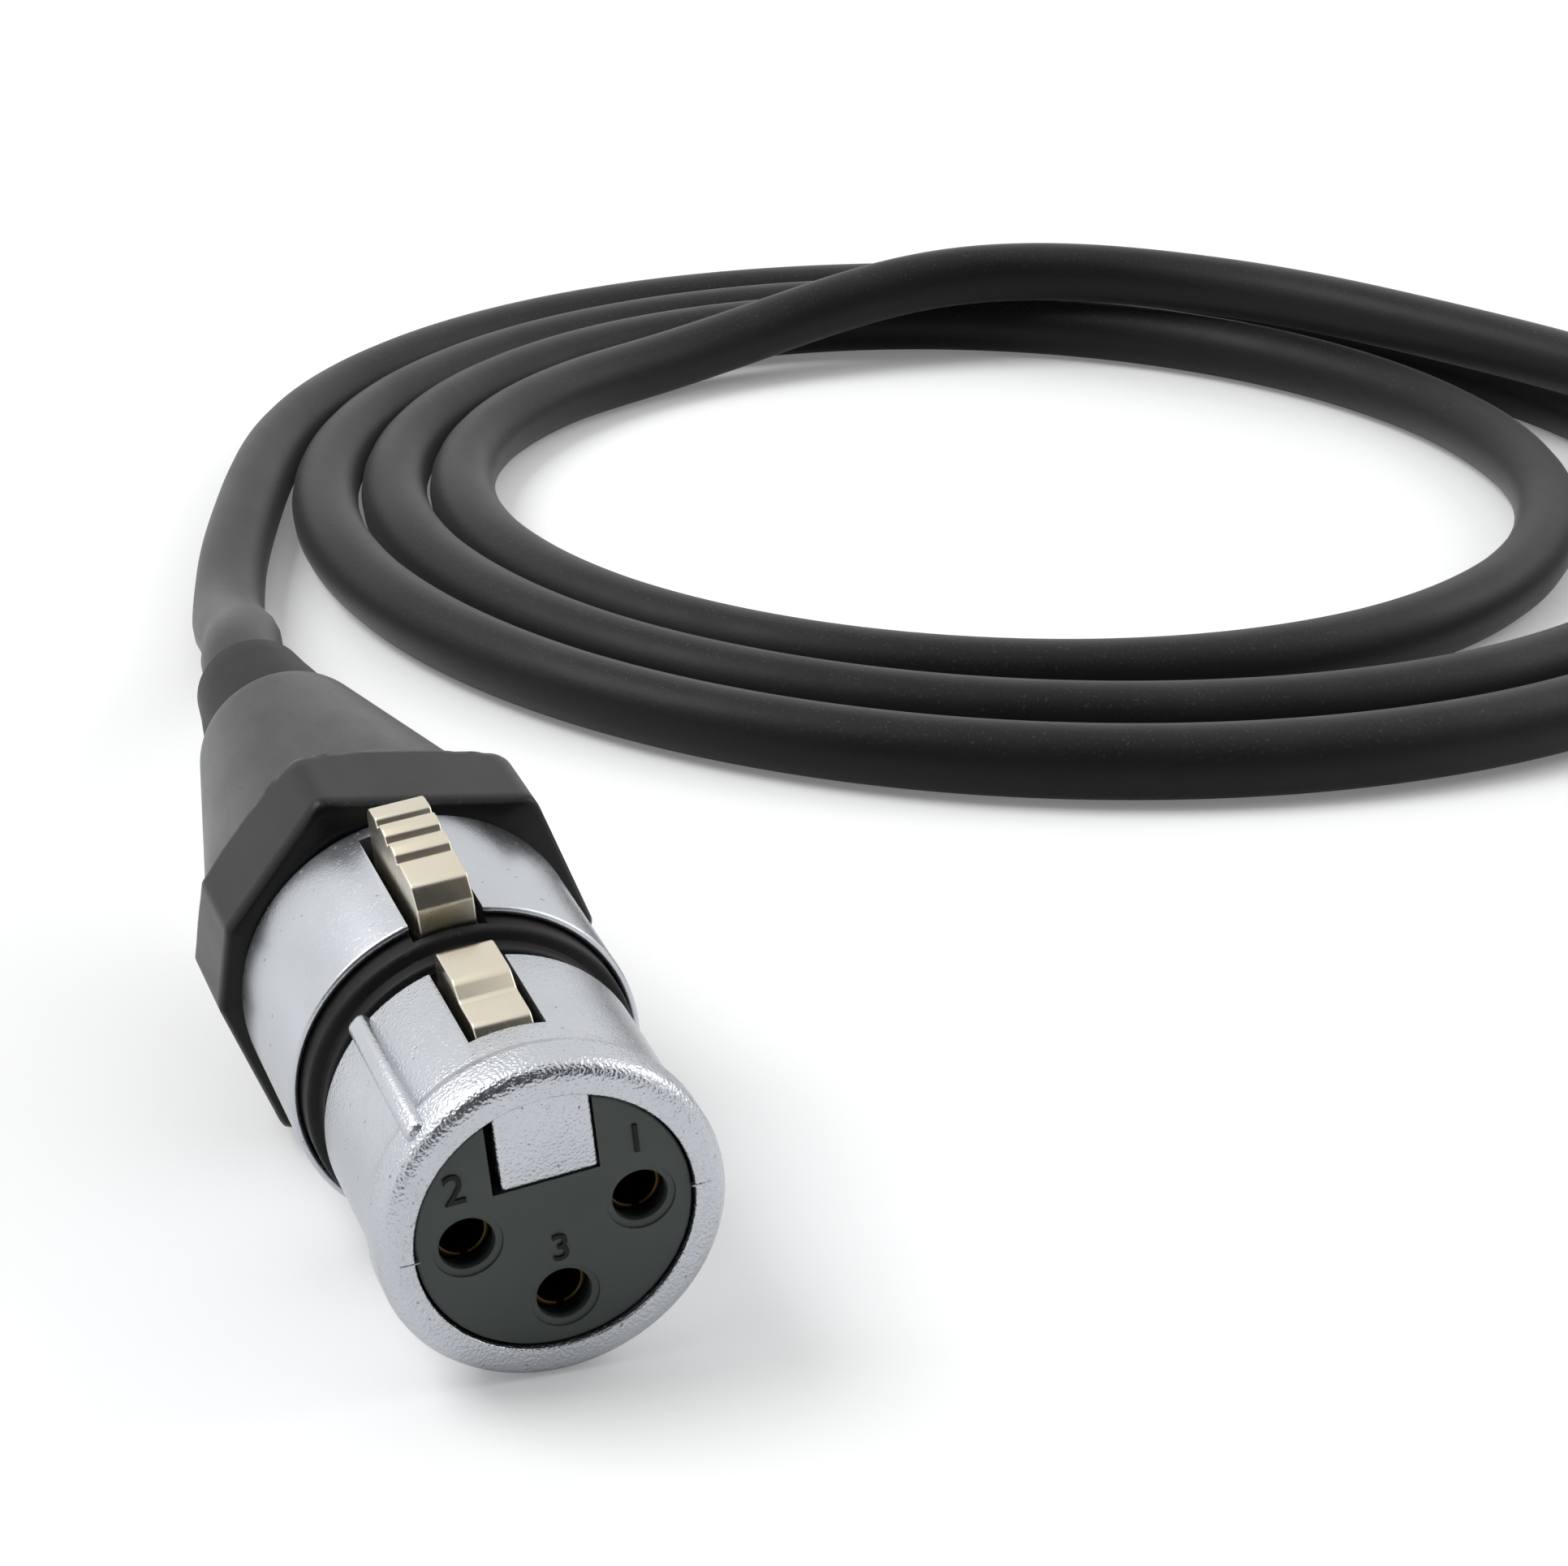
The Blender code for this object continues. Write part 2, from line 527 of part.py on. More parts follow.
# --- female connector ---------------------------------------------------------------------
def socket_shell(frame, material):
    outer = [(RIM_CENTRE, 0.0)]
    outer += arc((RIM_CENTRE, RIM_ROUND), RIM_ROUND, -60.0, 0.0, 2)
    outer += [
        (NOSE_RADIUS, RIM_LENGTH - RIM_FALL),
        (BARREL_RADIUS, RIM_LENGTH),
        (BARREL_RADIUS, GROOVE_FRONT - EDGE),
        (BARREL_RADIUS - EDGE, GROOVE_FRONT),
        (CORE_RADIUS, GROOVE_FRONT),
        (CORE_RADIUS, LIP_REAR),
        (LIP_INSIDE, LIP_REAR),
        (LIP_INSIDE, LIP_FRONT),
        (LIP_INSIDE + EDGE, LIP_FRONT - LIP_BEAD),
        (SLEEVE_RADIUS, LIP_FRONT + LIP_RISE),
        (SLEEVE_RADIUS, SLEEVE_REAR - SLEEVE_EDGE),
        (SLEEVE_RADIUS - SLEEVE_EDGE, SLEEVE_REAR),
        (THREAD_RADIUS, SLEEVE_REAR),
        (THREAD_RADIUS, THREAD_END - THREAD_CHAMFER),
        (THREAD_RADIUS - THREAD_CHAMFER, THREAD_END),
    ]
    inner = [(BORE_RADIUS, 0.0), (BORE_RADIUS, THREAD_END)]
    shell = turned("socket_shell", outer, inner, frame, material, STEPS_SHELL)

    ring_middle = 0.5 * (BORE_RADIUS + RIM_CENTRE)
    tab = box("key_tab", (-TAB_HALF_WIDTH, EDGE, TAB_FLOOR),
              (TAB_HALF_WIDTH, TAB_LENGTH, ring_middle), frame)
    rib_top = BARREL_RADIUS + RIB_HEIGHT
    rib = box("guide_rib", (-0.5 * RIB_WIDTH, RIM_ROUND, CORE_RADIUS + RIB_SINK),
              (0.5 * RIB_WIDTH, GROOVE_FRONT - CUT_MARGIN, rib_top), frame)
    rib.rotation_euler = (0.0, radians(RIB_ANGLE), 0.0)
    slot = box("latch_slot", (-SLOT_HALF, SLOT_FRONT, 0.5 * BORE_RADIUS),
               (SLOT_HALF, SLOT_REAR, 2 * SLEEVE_RADIUS), frame)
    change(shell, tab, "UNION")
    change(shell, rib, "UNION")
    change(shell, slot)


def socket_insert(frame, material):
    outer = [(INSERT_RADIUS - EDGE, FACE_INSET), (INSERT_RADIUS, FACE_INSET + EDGE),
             (INSERT_RADIUS, INSERT_REAR)]
    outline = [(0.0, FACE_INSET)] + outer + [(0.0, INSERT_REAR)]
    insert = turned("socket_insert", outline, [], frame, material)
    notch = box("tab_notch", (-TAB_HALF_WIDTH - TAB_GAP, -OVERCUT, TAB_FLOOR - TAB_GAP),
                (TAB_HALF_WIDTH + TAB_GAP, TAB_LENGTH + SEAT_GAP, 2 * BORE_RADIUS), frame)
    channel = box("latch_channel", (-CHANNEL_HALF, TAB_LENGTH, CHANNEL_FLOOR),
                  (CHANNEL_HALF, 2 * INSERT_REAR, 2 * BORE_RADIUS), frame)
    reach = HINGE_PIN_HALF + BORE_GAP
    pin_hole = rod("hinge_pin_hole", HINGE_PIN_RADIUS + BORE_GAP, (-reach, HINGE_Y, HINGE_Z),
                   (reach, HINGE_Y, HINGE_Z), frame)
    change(insert, notch)
    change(insert, channel)
    change(insert, pin_hole)
    for number, degrees in CONTACT_PLACES.items():
        entry = rod("entry_hole_%d" % number, ENTRY_RADIUS, on_circle(CONTACT_CIRCLE, degrees, -OVERCUT),
                    on_circle(CONTACT_CIRCLE, degrees, 2 * ENTRY_DEPTH), frame)
        seat = rod("contact_seat_%d" % number, SOCKET_RADIUS + BORE_GAP,
                   on_circle(CONTACT_CIRCLE, degrees, FACE_INSET + ENTRY_DEPTH),
                   on_circle(CONTACT_CIRCLE, degrees, 2 * INSERT_REAR), frame)
        change(insert, entry)
        change(insert, seat)


def socket_contact(number, degrees, frame, material):
    front = FACE_INSET + ENTRY_DEPTH + SEAT_GAP
    floor = front + SOCKET_DEPTH
    outer = [(SOCKET_RADIUS, front), (SOCKET_RADIUS, INSERT_REAR - CONTACT_TAIL),
             (CUP_RADIUS, INSERT_REAR - CONTACT_TAIL + EDGE), (CUP_RADIUS, CUP_REAR),
             (CUP_BORE, CUP_REAR), (CUP_BORE, CUP_FLOOR), (0.0, CUP_FLOOR)]
    outline = [(0.0, floor), (SOCKET_BORE, floor), (SOCKET_BORE, front)] + outer
    contact = turned("socket_contact_%d" % number, outline, [], frame, material, STEPS_CONTACT)
    contact.location = on_circle(CONTACT_CIRCLE, degrees)


def latch_outline():
    """Side view of the latch in (y, z), starting under its hinge and running to the rear."""
    lug = HINGE_PIN_RADIUS + LUG_WALL
    outline = [(HINGE_Y + lug * cos(radians(a)), HINGE_Z + lug * sin(radians(a)))
               for a in (180.0, 225.0, 270.0, 315.0)]
    outline += [
        (HINGE_Y + LUG_REACH * lug, LATCH_BOTTOM),
        (LATCH_REAR - LATCH_CORNER, LATCH_BOTTOM),
        (LATCH_REAR, LATCH_BOTTOM + LATCH_CORNER),
        (LATCH_REAR, BUTTON_TOP - BUTTON_BACK),
        (LATCH_REAR - BUTTON_BACK, BUTTON_TOP),
    ]
    first = BUTTON_FRONT + BUTTON_RAMP
    pitch = (LATCH_REAR - BUTTON_BACK - first) / RIDGES
    slope = (BUTTON_TOP - BUTTON_EDGE) / (LATCH_REAR - BUTTON_BACK - first)
    for i in range(RIDGES - 1, 0, -1):
        y = first + pitch * i
        z = BUTTON_EDGE + slope * (y - first)
        outline += [(y + VALLEY_HALF, z), (y, z - RIDGE_DEPTH), (y - VALLEY_HALF, z)]
    outline += [
        (first, BUTTON_EDGE),
        (BUTTON_FRONT, BUTTON_EDGE - BUTTON_RAMP),
        (BUTTON_FRONT, LATCH_BRIDGE),
        (LATCH_TOOTH_REAR, LATCH_BRIDGE),
        (LATCH_TOOTH_REAR, LATCH_HIGH - TOOTH_EDGE),
        (LATCH_TOOTH_REAR - TOOTH_EDGE, LATCH_HIGH),
        (LATCH_STEP + STEP_SLOPE, LATCH_HIGH),
        (LATCH_STEP, LATCH_LOW),
        (LATCH_FRONT + TOOTH_ROUND, LATCH_LOW),
        (LATCH_FRONT, LATCH_LOW - TOOTH_ROUND),
        (LATCH_FRONT, LATCH_LOW - TOOTH_FACE),
    ]
    return outline


def latch(frame, hinge, metal, steel):
    """The latch turns on its pin. Its own origin, with that of its empty, is on the pin's axis."""
    around_hinge = [(y - HINGE_Y, z - HINGE_Z) for y, z in latch_outline()]
    turn = Matrix(((0.0, 0.0, 1.0, 0.0), (1.0, 0.0, 0.0, 0.0), (0.0, 1.0, 0.0, 0.0), (0.0, 0.0, 0.0, 1.0)))
    lever = plate("latch_lever", around_hinge, LATCH_WIDTH, turn, hinge, metal)
    hole = rod("latch_pin_hole", HINGE_PIN_RADIUS + BORE_GAP, (-LATCH_WIDTH, 0.0, 0.0),
               (LATCH_WIDTH, 0.0, 0.0), hinge)
    change(lever, hole)
    rod("latch_pin", HINGE_PIN_RADIUS, (-HINGE_PIN_HALF, HINGE_Y, HINGE_Z),
        (HINGE_PIN_HALF, HINGE_Y, HINGE_Z), frame, steel)
    bottom = CHANNEL_FLOOR + SEAT_GAP + SPRING_WIRE
    top = LATCH_BOTTOM - SEAT_GAP - SPRING_WIRE
    points = SPRING_SIDES * SPRING_TURNS
    coil = []
    for i in range(points + 1):
        angle = 2 * pi * i / SPRING_SIDES
        height = bottom + (top - bottom) * i / points
        coil.append((SPRING_RADIUS * cos(angle), SPRING_Y + SPRING_RADIUS * sin(angle), height))
    tube("latch_spring", coil, SPRING_WIRE, frame, steel)


def seal_ring(frame, material):
    """A rubber ring on the shell's core, notched for the stem of the push button."""
    outside = SEAL_RADIUS + SEAL_WALL
    front = GROOVE_FRONT + SEAL_FRONT
    rear = LIP_REAR - SEAT_GAP
    outer = [(outside - EDGE, front), (outside, front + EDGE), (outside, rear)]
    inner = [(SEAL_RADIUS, front), (SEAL_RADIUS, rear)]
    ring = turned("socket_seal_ring", outer, inner, frame, material, STEPS_SHELL)
    notch = box("seal_notch", (-SLOT_HALF, BUTTON_FRONT - SEAT_GAP, 0.0),
                (SLOT_HALF, 2 * LIP_REAR, 2 * SLEEVE_RADIUS), frame)
    change(ring, notch)


def female_connector(finishes):
    axis = empty("socket_axis", (0.0, NOSE_Y, NOSE_HEIGHT), (TILT, 0.0, 0.0))
    rolled = empty("socket_front", (0.0, 0.0, 0.0), (0.0, radians(SHELL_ROLL), 0.0), axis)
    rear = empty("socket_rear", (0.0, 0.0, 0.0), (0.0, radians(COLLAR_ROLL), 0.0), axis)
    hinge = empty("latch_hinge", (0.0, HINGE_Y, HINGE_Z), (0.0, 0.0, 0.0), rolled)
    socket_shell(rolled, finishes["shell"])
    socket_insert(rolled, finishes["insert"])
    for number, degrees in CONTACT_PLACES.items():
        socket_contact(number, degrees, rolled, finishes["gold"])
    latch(rolled, hinge, finishes["latch"], finishes["steel"])
    seal_ring(rolled, finishes["rubber"])
    chuck("socket", rolled, finishes["chuck"])
    cable_end("socket", rolled, CONTACT_PLACES, finishes["jacket"], finishes["wires"])
    boot("socket", rear, finishes["boot"])
    gland("socket", rear, finishes["rubber"])
    return axis


# --- male connector -----------------------------------------------------------------------
def plug_shell(frame, material):
    shoulder = CUP_DEPTH + FLANGE_LENGTH + SEAT_GAP
    outer = [
        (CUP_OUTSIDE - CUP_EDGE, 0.0),
        (CUP_OUTSIDE, CUP_EDGE),
        (CUP_OUTSIDE, SLEEVE_REAR - CUP_SHOULDER),
        (CUP_OUTSIDE - CUP_SHOULDER, SLEEVE_REAR),
        (THREAD_RADIUS, SLEEVE_REAR),
        (THREAD_RADIUS, THREAD_END - THREAD_CHAMFER),
        (THREAD_RADIUS - THREAD_CHAMFER, THREAD_END),
    ]
    inner = [(CUP_INSIDE + 0.5 * EDGE, 0.0), (CUP_INSIDE, EDGE), (CUP_INSIDE, shoulder),
             (BORE_RADIUS, shoulder), (BORE_RADIUS, THREAD_END)]
    shell = turned("plug_shell", outer, inner, frame, material, STEPS_SHELL)
    window_half = LATCH_HALF + WINDOW_GAP
    window_front = CUP_DEPTH - LATCH_TOOTH_REAR - WINDOW_GAP
    window_rear = CUP_DEPTH - LATCH_STEP + WINDOW_GAP
    window = box("latch_window", (-window_half, window_front, 0.5 * CUP_INSIDE),
                 (window_half, window_rear, 2 * CUP_OUTSIDE), frame)
    guide_top = BARREL_RADIUS + RIB_HEIGHT + GUIDE_GAP
    guide = box("guide_groove", (-0.5 * RIB_WIDTH - GUIDE_GAP, -OVERCUT, 0.5 * CUP_INSIDE),
                (0.5 * RIB_WIDTH + GUIDE_GAP, CUP_DEPTH - GUIDE_END, guide_top), frame)
    guide.rotation_euler = (0.0, radians(-RIB_ANGLE), 0.0)
    change(shell, window)
    change(shell, guide)


def plug_insert(frame, material):
    rear = INSERT_REAR
    flange = CUP_INSIDE - BORE_GAP
    outline = [(0.0, CUP_DEPTH), (flange - EDGE, CUP_DEPTH), (flange, CUP_DEPTH + EDGE),
               (flange, CUP_DEPTH + FLANGE_LENGTH), (INSERT_RADIUS, CUP_DEPTH + FLANGE_LENGTH),
               (INSERT_RADIUS, rear), (0.0, rear)]
    insert = turned("plug_insert", outline, [], frame, material)
    for number, degrees in CONTACT_PLACES.items():
        hole = rod("pin_seat_%d" % number, PIN_RADIUS + BORE_GAP,
                   on_circle(CONTACT_CIRCLE, mirrored(degrees), 0.0),
                   on_circle(CONTACT_CIRCLE, mirrored(degrees), 2 * rear), frame)
        change(insert, hole)


def plug_pin(number, degrees, frame, material):
    front = CUP_DEPTH - PIN_LENGTH
    collar = INSERT_REAR + SEAT_GAP
    outline = [(0.0, front), (PIN_RADIUS - PIN_TIP, front), (PIN_RADIUS, front + PIN_TIP),
               (PIN_RADIUS, collar), (CUP_RADIUS, collar), (CUP_RADIUS, CUP_REAR),
               (CUP_BORE, CUP_REAR), (CUP_BORE, CUP_FLOOR), (0.0, CUP_FLOOR)]
    pin = turned("plug_pin_%d" % number, outline, [], frame, material, STEPS_CONTACT)
    pin.location = on_circle(CONTACT_CIRCLE, degrees)


def male_connector(finishes):
    frame = empty("plug_axis", (*PLUG_PLACE, PLUG_HEIGHT), (0.0, 0.0, 0.0))
    places = {number: mirrored(degrees) for number, degrees in CONTACT_PLACES.items()}
    plug_shell(frame, finishes["shell"])
    plug_insert(frame, finishes["insert"])
    for number, degrees in places.items():
        plug_pin(number, degrees, frame, finishes["gold"])
    chuck("plug", frame, finishes["chuck"])
    cable_end("plug", frame, places, finishes["jacket"], finishes["wires"])
    boot("plug", frame, finishes["boot"])
    gland("plug", frame, finishes["rubber"])


# --- cable --------------------------------------------------------------------------------
def cable(finishes):
    """The two free stretches, and one ring for the turns that lie coiled between them."""
    step = CORD_STEP * 2 * CABLE_RADIUS
    along = Vector((0.0, cos(TILT), sin(TILT)))
    nose = Vector((0.0, NOSE_Y, NOSE_HEIGHT))
    start = nose + along * (GLAND_REAR + SEAT_GAP)
    lead = [start, start + along * LEAD_STRAIGHT] + LEAD_ROUTE
    tube("cable_lead", smooth_path(lead, step), CABLE_RADIUS, None, finishes["jacket"], 3)

    end = Vector((*PLUG_PLACE, PLUG_HEIGHT)) + Vector((0.0, GLAND_REAR + SEAT_GAP, 0.0))
    tail = TAIL_ROUTE + [end + Vector((0.0, TAIL_STRAIGHT, 0.0)), end]
    tube("cable_tail", smooth_path(tail, step), CABLE_RADIUS, None, finishes["jacket"], 3)

    height = 2 * CABLE_RADIUS
    outer = [(COIL_OUTSIDE - COIL_EDGE, 0.0), (COIL_OUTSIDE, COIL_EDGE),
             (COIL_OUTSIDE, height - COIL_EDGE), (COIL_OUTSIDE - COIL_EDGE, height)]
    inner = [(COIL_INSIDE + COIL_EDGE, 0.0), (COIL_INSIDE, COIL_EDGE),
             (COIL_INSIDE, height - COIL_EDGE), (COIL_INSIDE + COIL_EDGE, height)]
    ring = turned("cable_coil", outer, inner, None, finishes["jacket"], STEPS_COIL)
    ring.rotation_euler = (pi / 2, 0.0, 0.0)
    ring.location = (*COIL_CENTRE, FLOOR_LIFT)


def main():
    global parts, cutters
    clear_scene()
    parts = new_collection("xlr_cable_coil")
    cutters = new_collection("cutters")
    finishes = {
        "shell": finish("satin_nickel", (0.56, 0.58, 0.61), 0.36, 1.0),
        "insert": finish("grey_green_plastic", (0.05, 0.06, 0.056), 0.45),
        "gold": finish("gold_plate", (0.80, 0.58, 0.24), 0.25, 1.0),
        "latch": finish("champagne_nickel", (0.48, 0.43, 0.30), 0.30, 1.0),
        "steel": finish("spring_steel", (0.45, 0.45, 0.46), 0.30, 1.0),
        "chuck": finish("pale_plastic", (0.45, 0.45, 0.43), 0.50),
        "boot": finish("black_plastic", (0.022, 0.023, 0.024), 0.42),
        "rubber": finish("black_rubber", (0.014, 0.014, 0.015), 0.62),
        "jacket": finish("matte_black_jacket", (0.024, 0.024, 0.025), 0.55),
        "wires": {
            1: finish("bare_screen", (0.62, 0.50, 0.38), 0.40, 1.0),
            2: finish("red_wire", (0.45, 0.02, 0.02), 0.50),
            3: finish("white_wire", (0.75, 0.75, 0.73), 0.50),
        },
    }
    female_connector(finishes)
    male_connector(finishes)
    cable(finishes)


main()
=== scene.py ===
import json
from math import atan2, ceil, cos, hypot, pi, radians, sin, tan

import bmesh
import bpy
from mathutils import Matrix, Vector

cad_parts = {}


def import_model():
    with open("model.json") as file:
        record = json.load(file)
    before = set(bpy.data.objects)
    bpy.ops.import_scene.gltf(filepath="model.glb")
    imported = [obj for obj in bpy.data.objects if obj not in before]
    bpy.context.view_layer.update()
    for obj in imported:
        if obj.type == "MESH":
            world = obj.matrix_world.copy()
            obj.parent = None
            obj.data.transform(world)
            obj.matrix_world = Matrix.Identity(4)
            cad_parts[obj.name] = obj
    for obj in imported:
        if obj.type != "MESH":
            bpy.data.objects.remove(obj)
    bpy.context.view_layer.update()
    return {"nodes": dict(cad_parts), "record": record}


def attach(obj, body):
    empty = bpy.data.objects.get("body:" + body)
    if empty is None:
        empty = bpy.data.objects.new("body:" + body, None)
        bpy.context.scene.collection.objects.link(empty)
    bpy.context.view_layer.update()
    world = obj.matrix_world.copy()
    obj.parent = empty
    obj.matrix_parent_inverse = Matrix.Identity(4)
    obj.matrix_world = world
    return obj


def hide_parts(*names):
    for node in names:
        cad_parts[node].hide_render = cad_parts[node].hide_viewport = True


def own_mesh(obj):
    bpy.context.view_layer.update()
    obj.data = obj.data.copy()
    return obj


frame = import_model()

# Metres, in the frame's own axes: +Z up, the female connector's face looks along -Y, and the
# floor is z = 0. Sizes of the connectors run from their front face towards the cable.

# --- camera ---
CAMERA_PLACE = Vector((-0.05268, -0.20290, 0.10901))
CAMERA_RIGHT = Vector((0.93759, -0.34700, 0.02282))
CAMERA_UP = Vector((0.11511, 0.37159, 0.92123))
CAMERA_LENS = 90.0
CAMERA_SENSOR = 36.0

# --- where the connectors lie ---
TILT = 0.05993908              # radians, nose down
NOSE_PLACE = Vector((0.0, -0.03340338, 0.00938330))
SHELL_ROLL = radians(-7.94)
COLLAR_ROLL = radians(6.0)
PLUG_PLACE = Vector((0.1400, -0.0222, 0.01052))
SOCKET_AXIS = Matrix.Translation(NOSE_PLACE) @ Matrix.Rotation(TILT, 4, "X")
SHELL_FRAME = SOCKET_AXIS @ Matrix.Rotation(SHELL_ROLL, 4, "Y")
COLLAR_FRAME = SOCKET_AXIS @ Matrix.Rotation(COLLAR_ROLL, 4, "Y")
PLUG_FRAME = Matrix.Translation(PLUG_PLACE)

# --- cable ---
CABLE_RADIUS = 0.00275
GLAND_REAR = 0.0672
SEAT_GAP = 0.0003
MOUTH_RADIUS = 0.0028          # of the boot's tail, where it closes on the cable
COIL_CENTRE = Vector((0.07709, 0.08967))
LEAD_ROUTE = [
    (0.0022, 0.0460, 0.0119),
    (0.0043, 0.0580, 0.0081),
    (0.0061, 0.0690, 0.0046),
    (0.0078, 0.0768, 0.0030),
    (0.0106, 0.0877, 0.0028),
    (0.0142, 0.0985, 0.0028),
]
# Radius of the strand's centre line at each quarter turn, in millimetres, from the left of the
# coil on through its back, right and front.
COIL_QUARTERS = [62.0, 60.0, 67.0, 62.3, 56.4, 54.5, 61.0, 54.0, 50.8, 49.0, 47.4, 45.8, 45.2]
COIL_START = 159.7             # degrees from +X, where the first quarter begins
COIL_HEIGHT = 2.80             # millimetres, the strand's centre line above the floor
# Degrees, radius and height in millimetres where the end of the cable crosses the other turns.
TAIL_CLIMB = [
    (128.0, 44.0, 2.83),
    (112.0, 43.4, 2.95),
    (98.0, 43.6, 4.3),
    (84.0, 44.6, 6.6),
    (72.0, 46.6, 8.0),
    (60.0, 48.4, 8.4),
    (45.0, 49.3, 8.4),
    (30.0, 50.3, 8.4),
    (17.0, 52.0, 8.3),
    (5.0, 55.3, 8.3),
    (-5.0, 59.0, 8.4),
    (-14.0, 63.0, 8.4),
]
TAIL_ROUTE = [
    (0.1394, 0.0650, 0.0086),
    (0.1399, 0.0575, 0.0093),
]
LEAD_STRAIGHT = 0.004          # straight run out of the female connector's boot
TAIL_STRAIGHT = 0.005          # and out of the male connector's
TURN_STEP = 3.0                # between the points of the coil, in degrees and millimetres
ROUTE_STEP = 0.0012            # between the points of the finished route
ROUTE_PASSES = 30              # of smoothing along it
MERGE = 1e-6                   # vertices this near are one


# --- shapes ---
def arc_points(centre, radius, start, stop, steps):
    points = []
    for i in range(steps + 1):
        angle = start + (stop - start) * i / steps
        points.append((centre[0] + radius * cos(angle), centre[1] + radius * sin(angle)))
    return points


def filleted(corners, steps=4):
    """A closed outline from (u, v, fillet radius) corners, with each corner rounded."""
    outline = []
    count = len(corners)
    for i, (u, v, radius) in enumerate(corners):
        here = Vector((u, v))
        before = Vector(corners[i - 1][:2]) - here
        after = Vector(corners[(i + 1) % count][:2]) - here
        half = 0.5 * before.angle(after)
        if radius <= 0.0 or half > 1.55:
            outline.append((u, v))
            continue
        reach = min(radius / tan(half), 0.49 * before.length, 0.49 * after.length)
        radius = reach * tan(half)
        middle = (before.normalized() + after.normalized()).normalized()
        centre = here + middle * (radius / sin(half))
        first = here + before.normalized() * reach - centre
        last = here + after.normalized() * reach - centre
        start = atan2(first.y, first.x)
        turn = atan2(last.y, last.x) - start
        turn = (turn + pi) % (2 * pi) - pi
        outline += arc_points(centre, radius, start, start + turn, steps)
    return outline


def spun(outline, steps=96):
    """Turns a closed outline of (radius, y) about Y. Points on the axis are merged."""
    shape = bmesh.new()
    verts = [shape.verts.new((r, y, 0.0)) for r, y in outline]
    edges = [shape.edges.new((verts[i - 1], verts[i])) for i in range(len(verts))]
    bmesh.ops.spin(shape, geom=verts + edges, cent=(0, 0, 0), axis=(0, 1, 0), dvec=(0, 0, 0),
                   angle=2 * pi, steps=steps, use_merge=True, use_duplicate=False)
    bmesh.ops.remove_doubles(shape, verts=shape.verts, dist=MERGE)
    bmesh.ops.dissolve_degenerate(shape, edges=shape.edges, dist=MERGE / 10)
    bmesh.ops.recalc_face_normals(shape, faces=shape.faces)
    return shape


def block(low, high, rounding=0.0, segments=3):
    low, high = Vector(low), Vector(high)
    shape = bmesh.new()
    size = Matrix.Diagonal((*(high - low), 1.0))
    bmesh.ops.create_cube(shape, size=1.0, matrix=Matrix.Translation((low + high) / 2) @ size)
    if rounding:
        bmesh.ops.bevel(shape, geom=shape.edges[:], offset=rounding, segments=segments,
                        affect="EDGES", profile=0.5, material=-1, clamp_overlap=True)
    return shape


def slab(outline, half_width, rounding, segments=3):
    """An outline of (y, z) given a width along X, with its side edges rounded."""
    shape = bmesh.new()
    verts = [shape.verts.new((-half_width, y, z)) for y, z in outline]
    face = shape.faces.new(verts)
    sides = bmesh.ops.extrude_face_region(shape, geom=[face], use_keep_orig=True)
    moved = [v for v in sides["geom"] if isinstance(v, bmesh.types.BMVert)]
    bmesh.ops.translate(shape, vec=(2 * half_width, 0, 0), verts=moved)
    bmesh.ops.recalc_face_normals(shape, faces=shape.faces)
    rim = [e for e in shape.edges if abs(e.verts[0].co.x - e.verts[1].co.x) < 1e-7]
    bmesh.ops.bevel(shape, geom=rim, offset=rounding, segments=segments, affect="EDGES",
                    profile=0.5, material=-1, clamp_overlap=True)
    return shape


def cylinder(radius, start, end, steps=48):
    start, end = Vector(start), Vector(end)
    along = end - start
    turn = along.to_track_quat("Z", "Y").to_matrix().to_4x4()
    shape = bmesh.new()
    bmesh.ops.create_cone(shape, cap_ends=True, segments=steps, radius1=radius, radius2=radius,
                          depth=along.length, matrix=Matrix.Translation((start + end) / 2) @ turn)
    return shape


def loose_object(shape):
    mesh = bpy.data.meshes.new("shape")
    shape.to_mesh(mesh)
    shape.free()
    thing = bpy.data.objects.new("shape", mesh)
    bpy.context.scene.collection.objects.link(thing)
    return thing


def shape_of(thing):
    """The object's final mesh with its doubles merged. The object itself is removed."""
    bpy.context.view_layer.update()
    final = thing.evaluated_get(bpy.context.evaluated_depsgraph_get())
    mesh = bpy.data.meshes.new_from_object(final)
    bpy.data.objects.remove(thing, do_unlink=True)
    shape = bmesh.new()
    shape.from_mesh(mesh)
    bpy.data.meshes.remove(mesh)
    bmesh.ops.remove_doubles(shape, verts=shape.verts, dist=MERGE)
    return shape


def combined(shape, others, operation="DIFFERENCE"):
    """The first shape with the others cut away from it, or joined to it."""
    body = loose_object(shape)
    tools = [loose_object(other) for other in others]
    for tool in tools:
        step = body.modifiers.new("Cut", "BOOLEAN")
        step.operation = operation
        step.object = tool
        step.solver = "EXACT"
    result = shape_of(body)
    for tool in tools:
        bpy.data.objects.remove(tool, do_unlink=True)
    return result


def rounded_edges(shape, chosen, offset, segments=2):
    edges = [e for e in shape.edges if len(e.link_faces) == 2 and chosen(e)]
    bmesh.ops.bevel(shape, geom=edges, offset=offset, segments=segments, affect="EDGES",
                    profile=0.5, material=-1, clamp_overlap=True)
    return shape


def joined(*shapes):
    whole = bmesh.new()
    for shape in shapes:
        mesh = bpy.data.meshes.new("shape")
        shape.to_mesh(mesh)
        shape.free()
        whole.from_mesh(mesh)
        bpy.data.meshes.remove(mesh)
    return whole


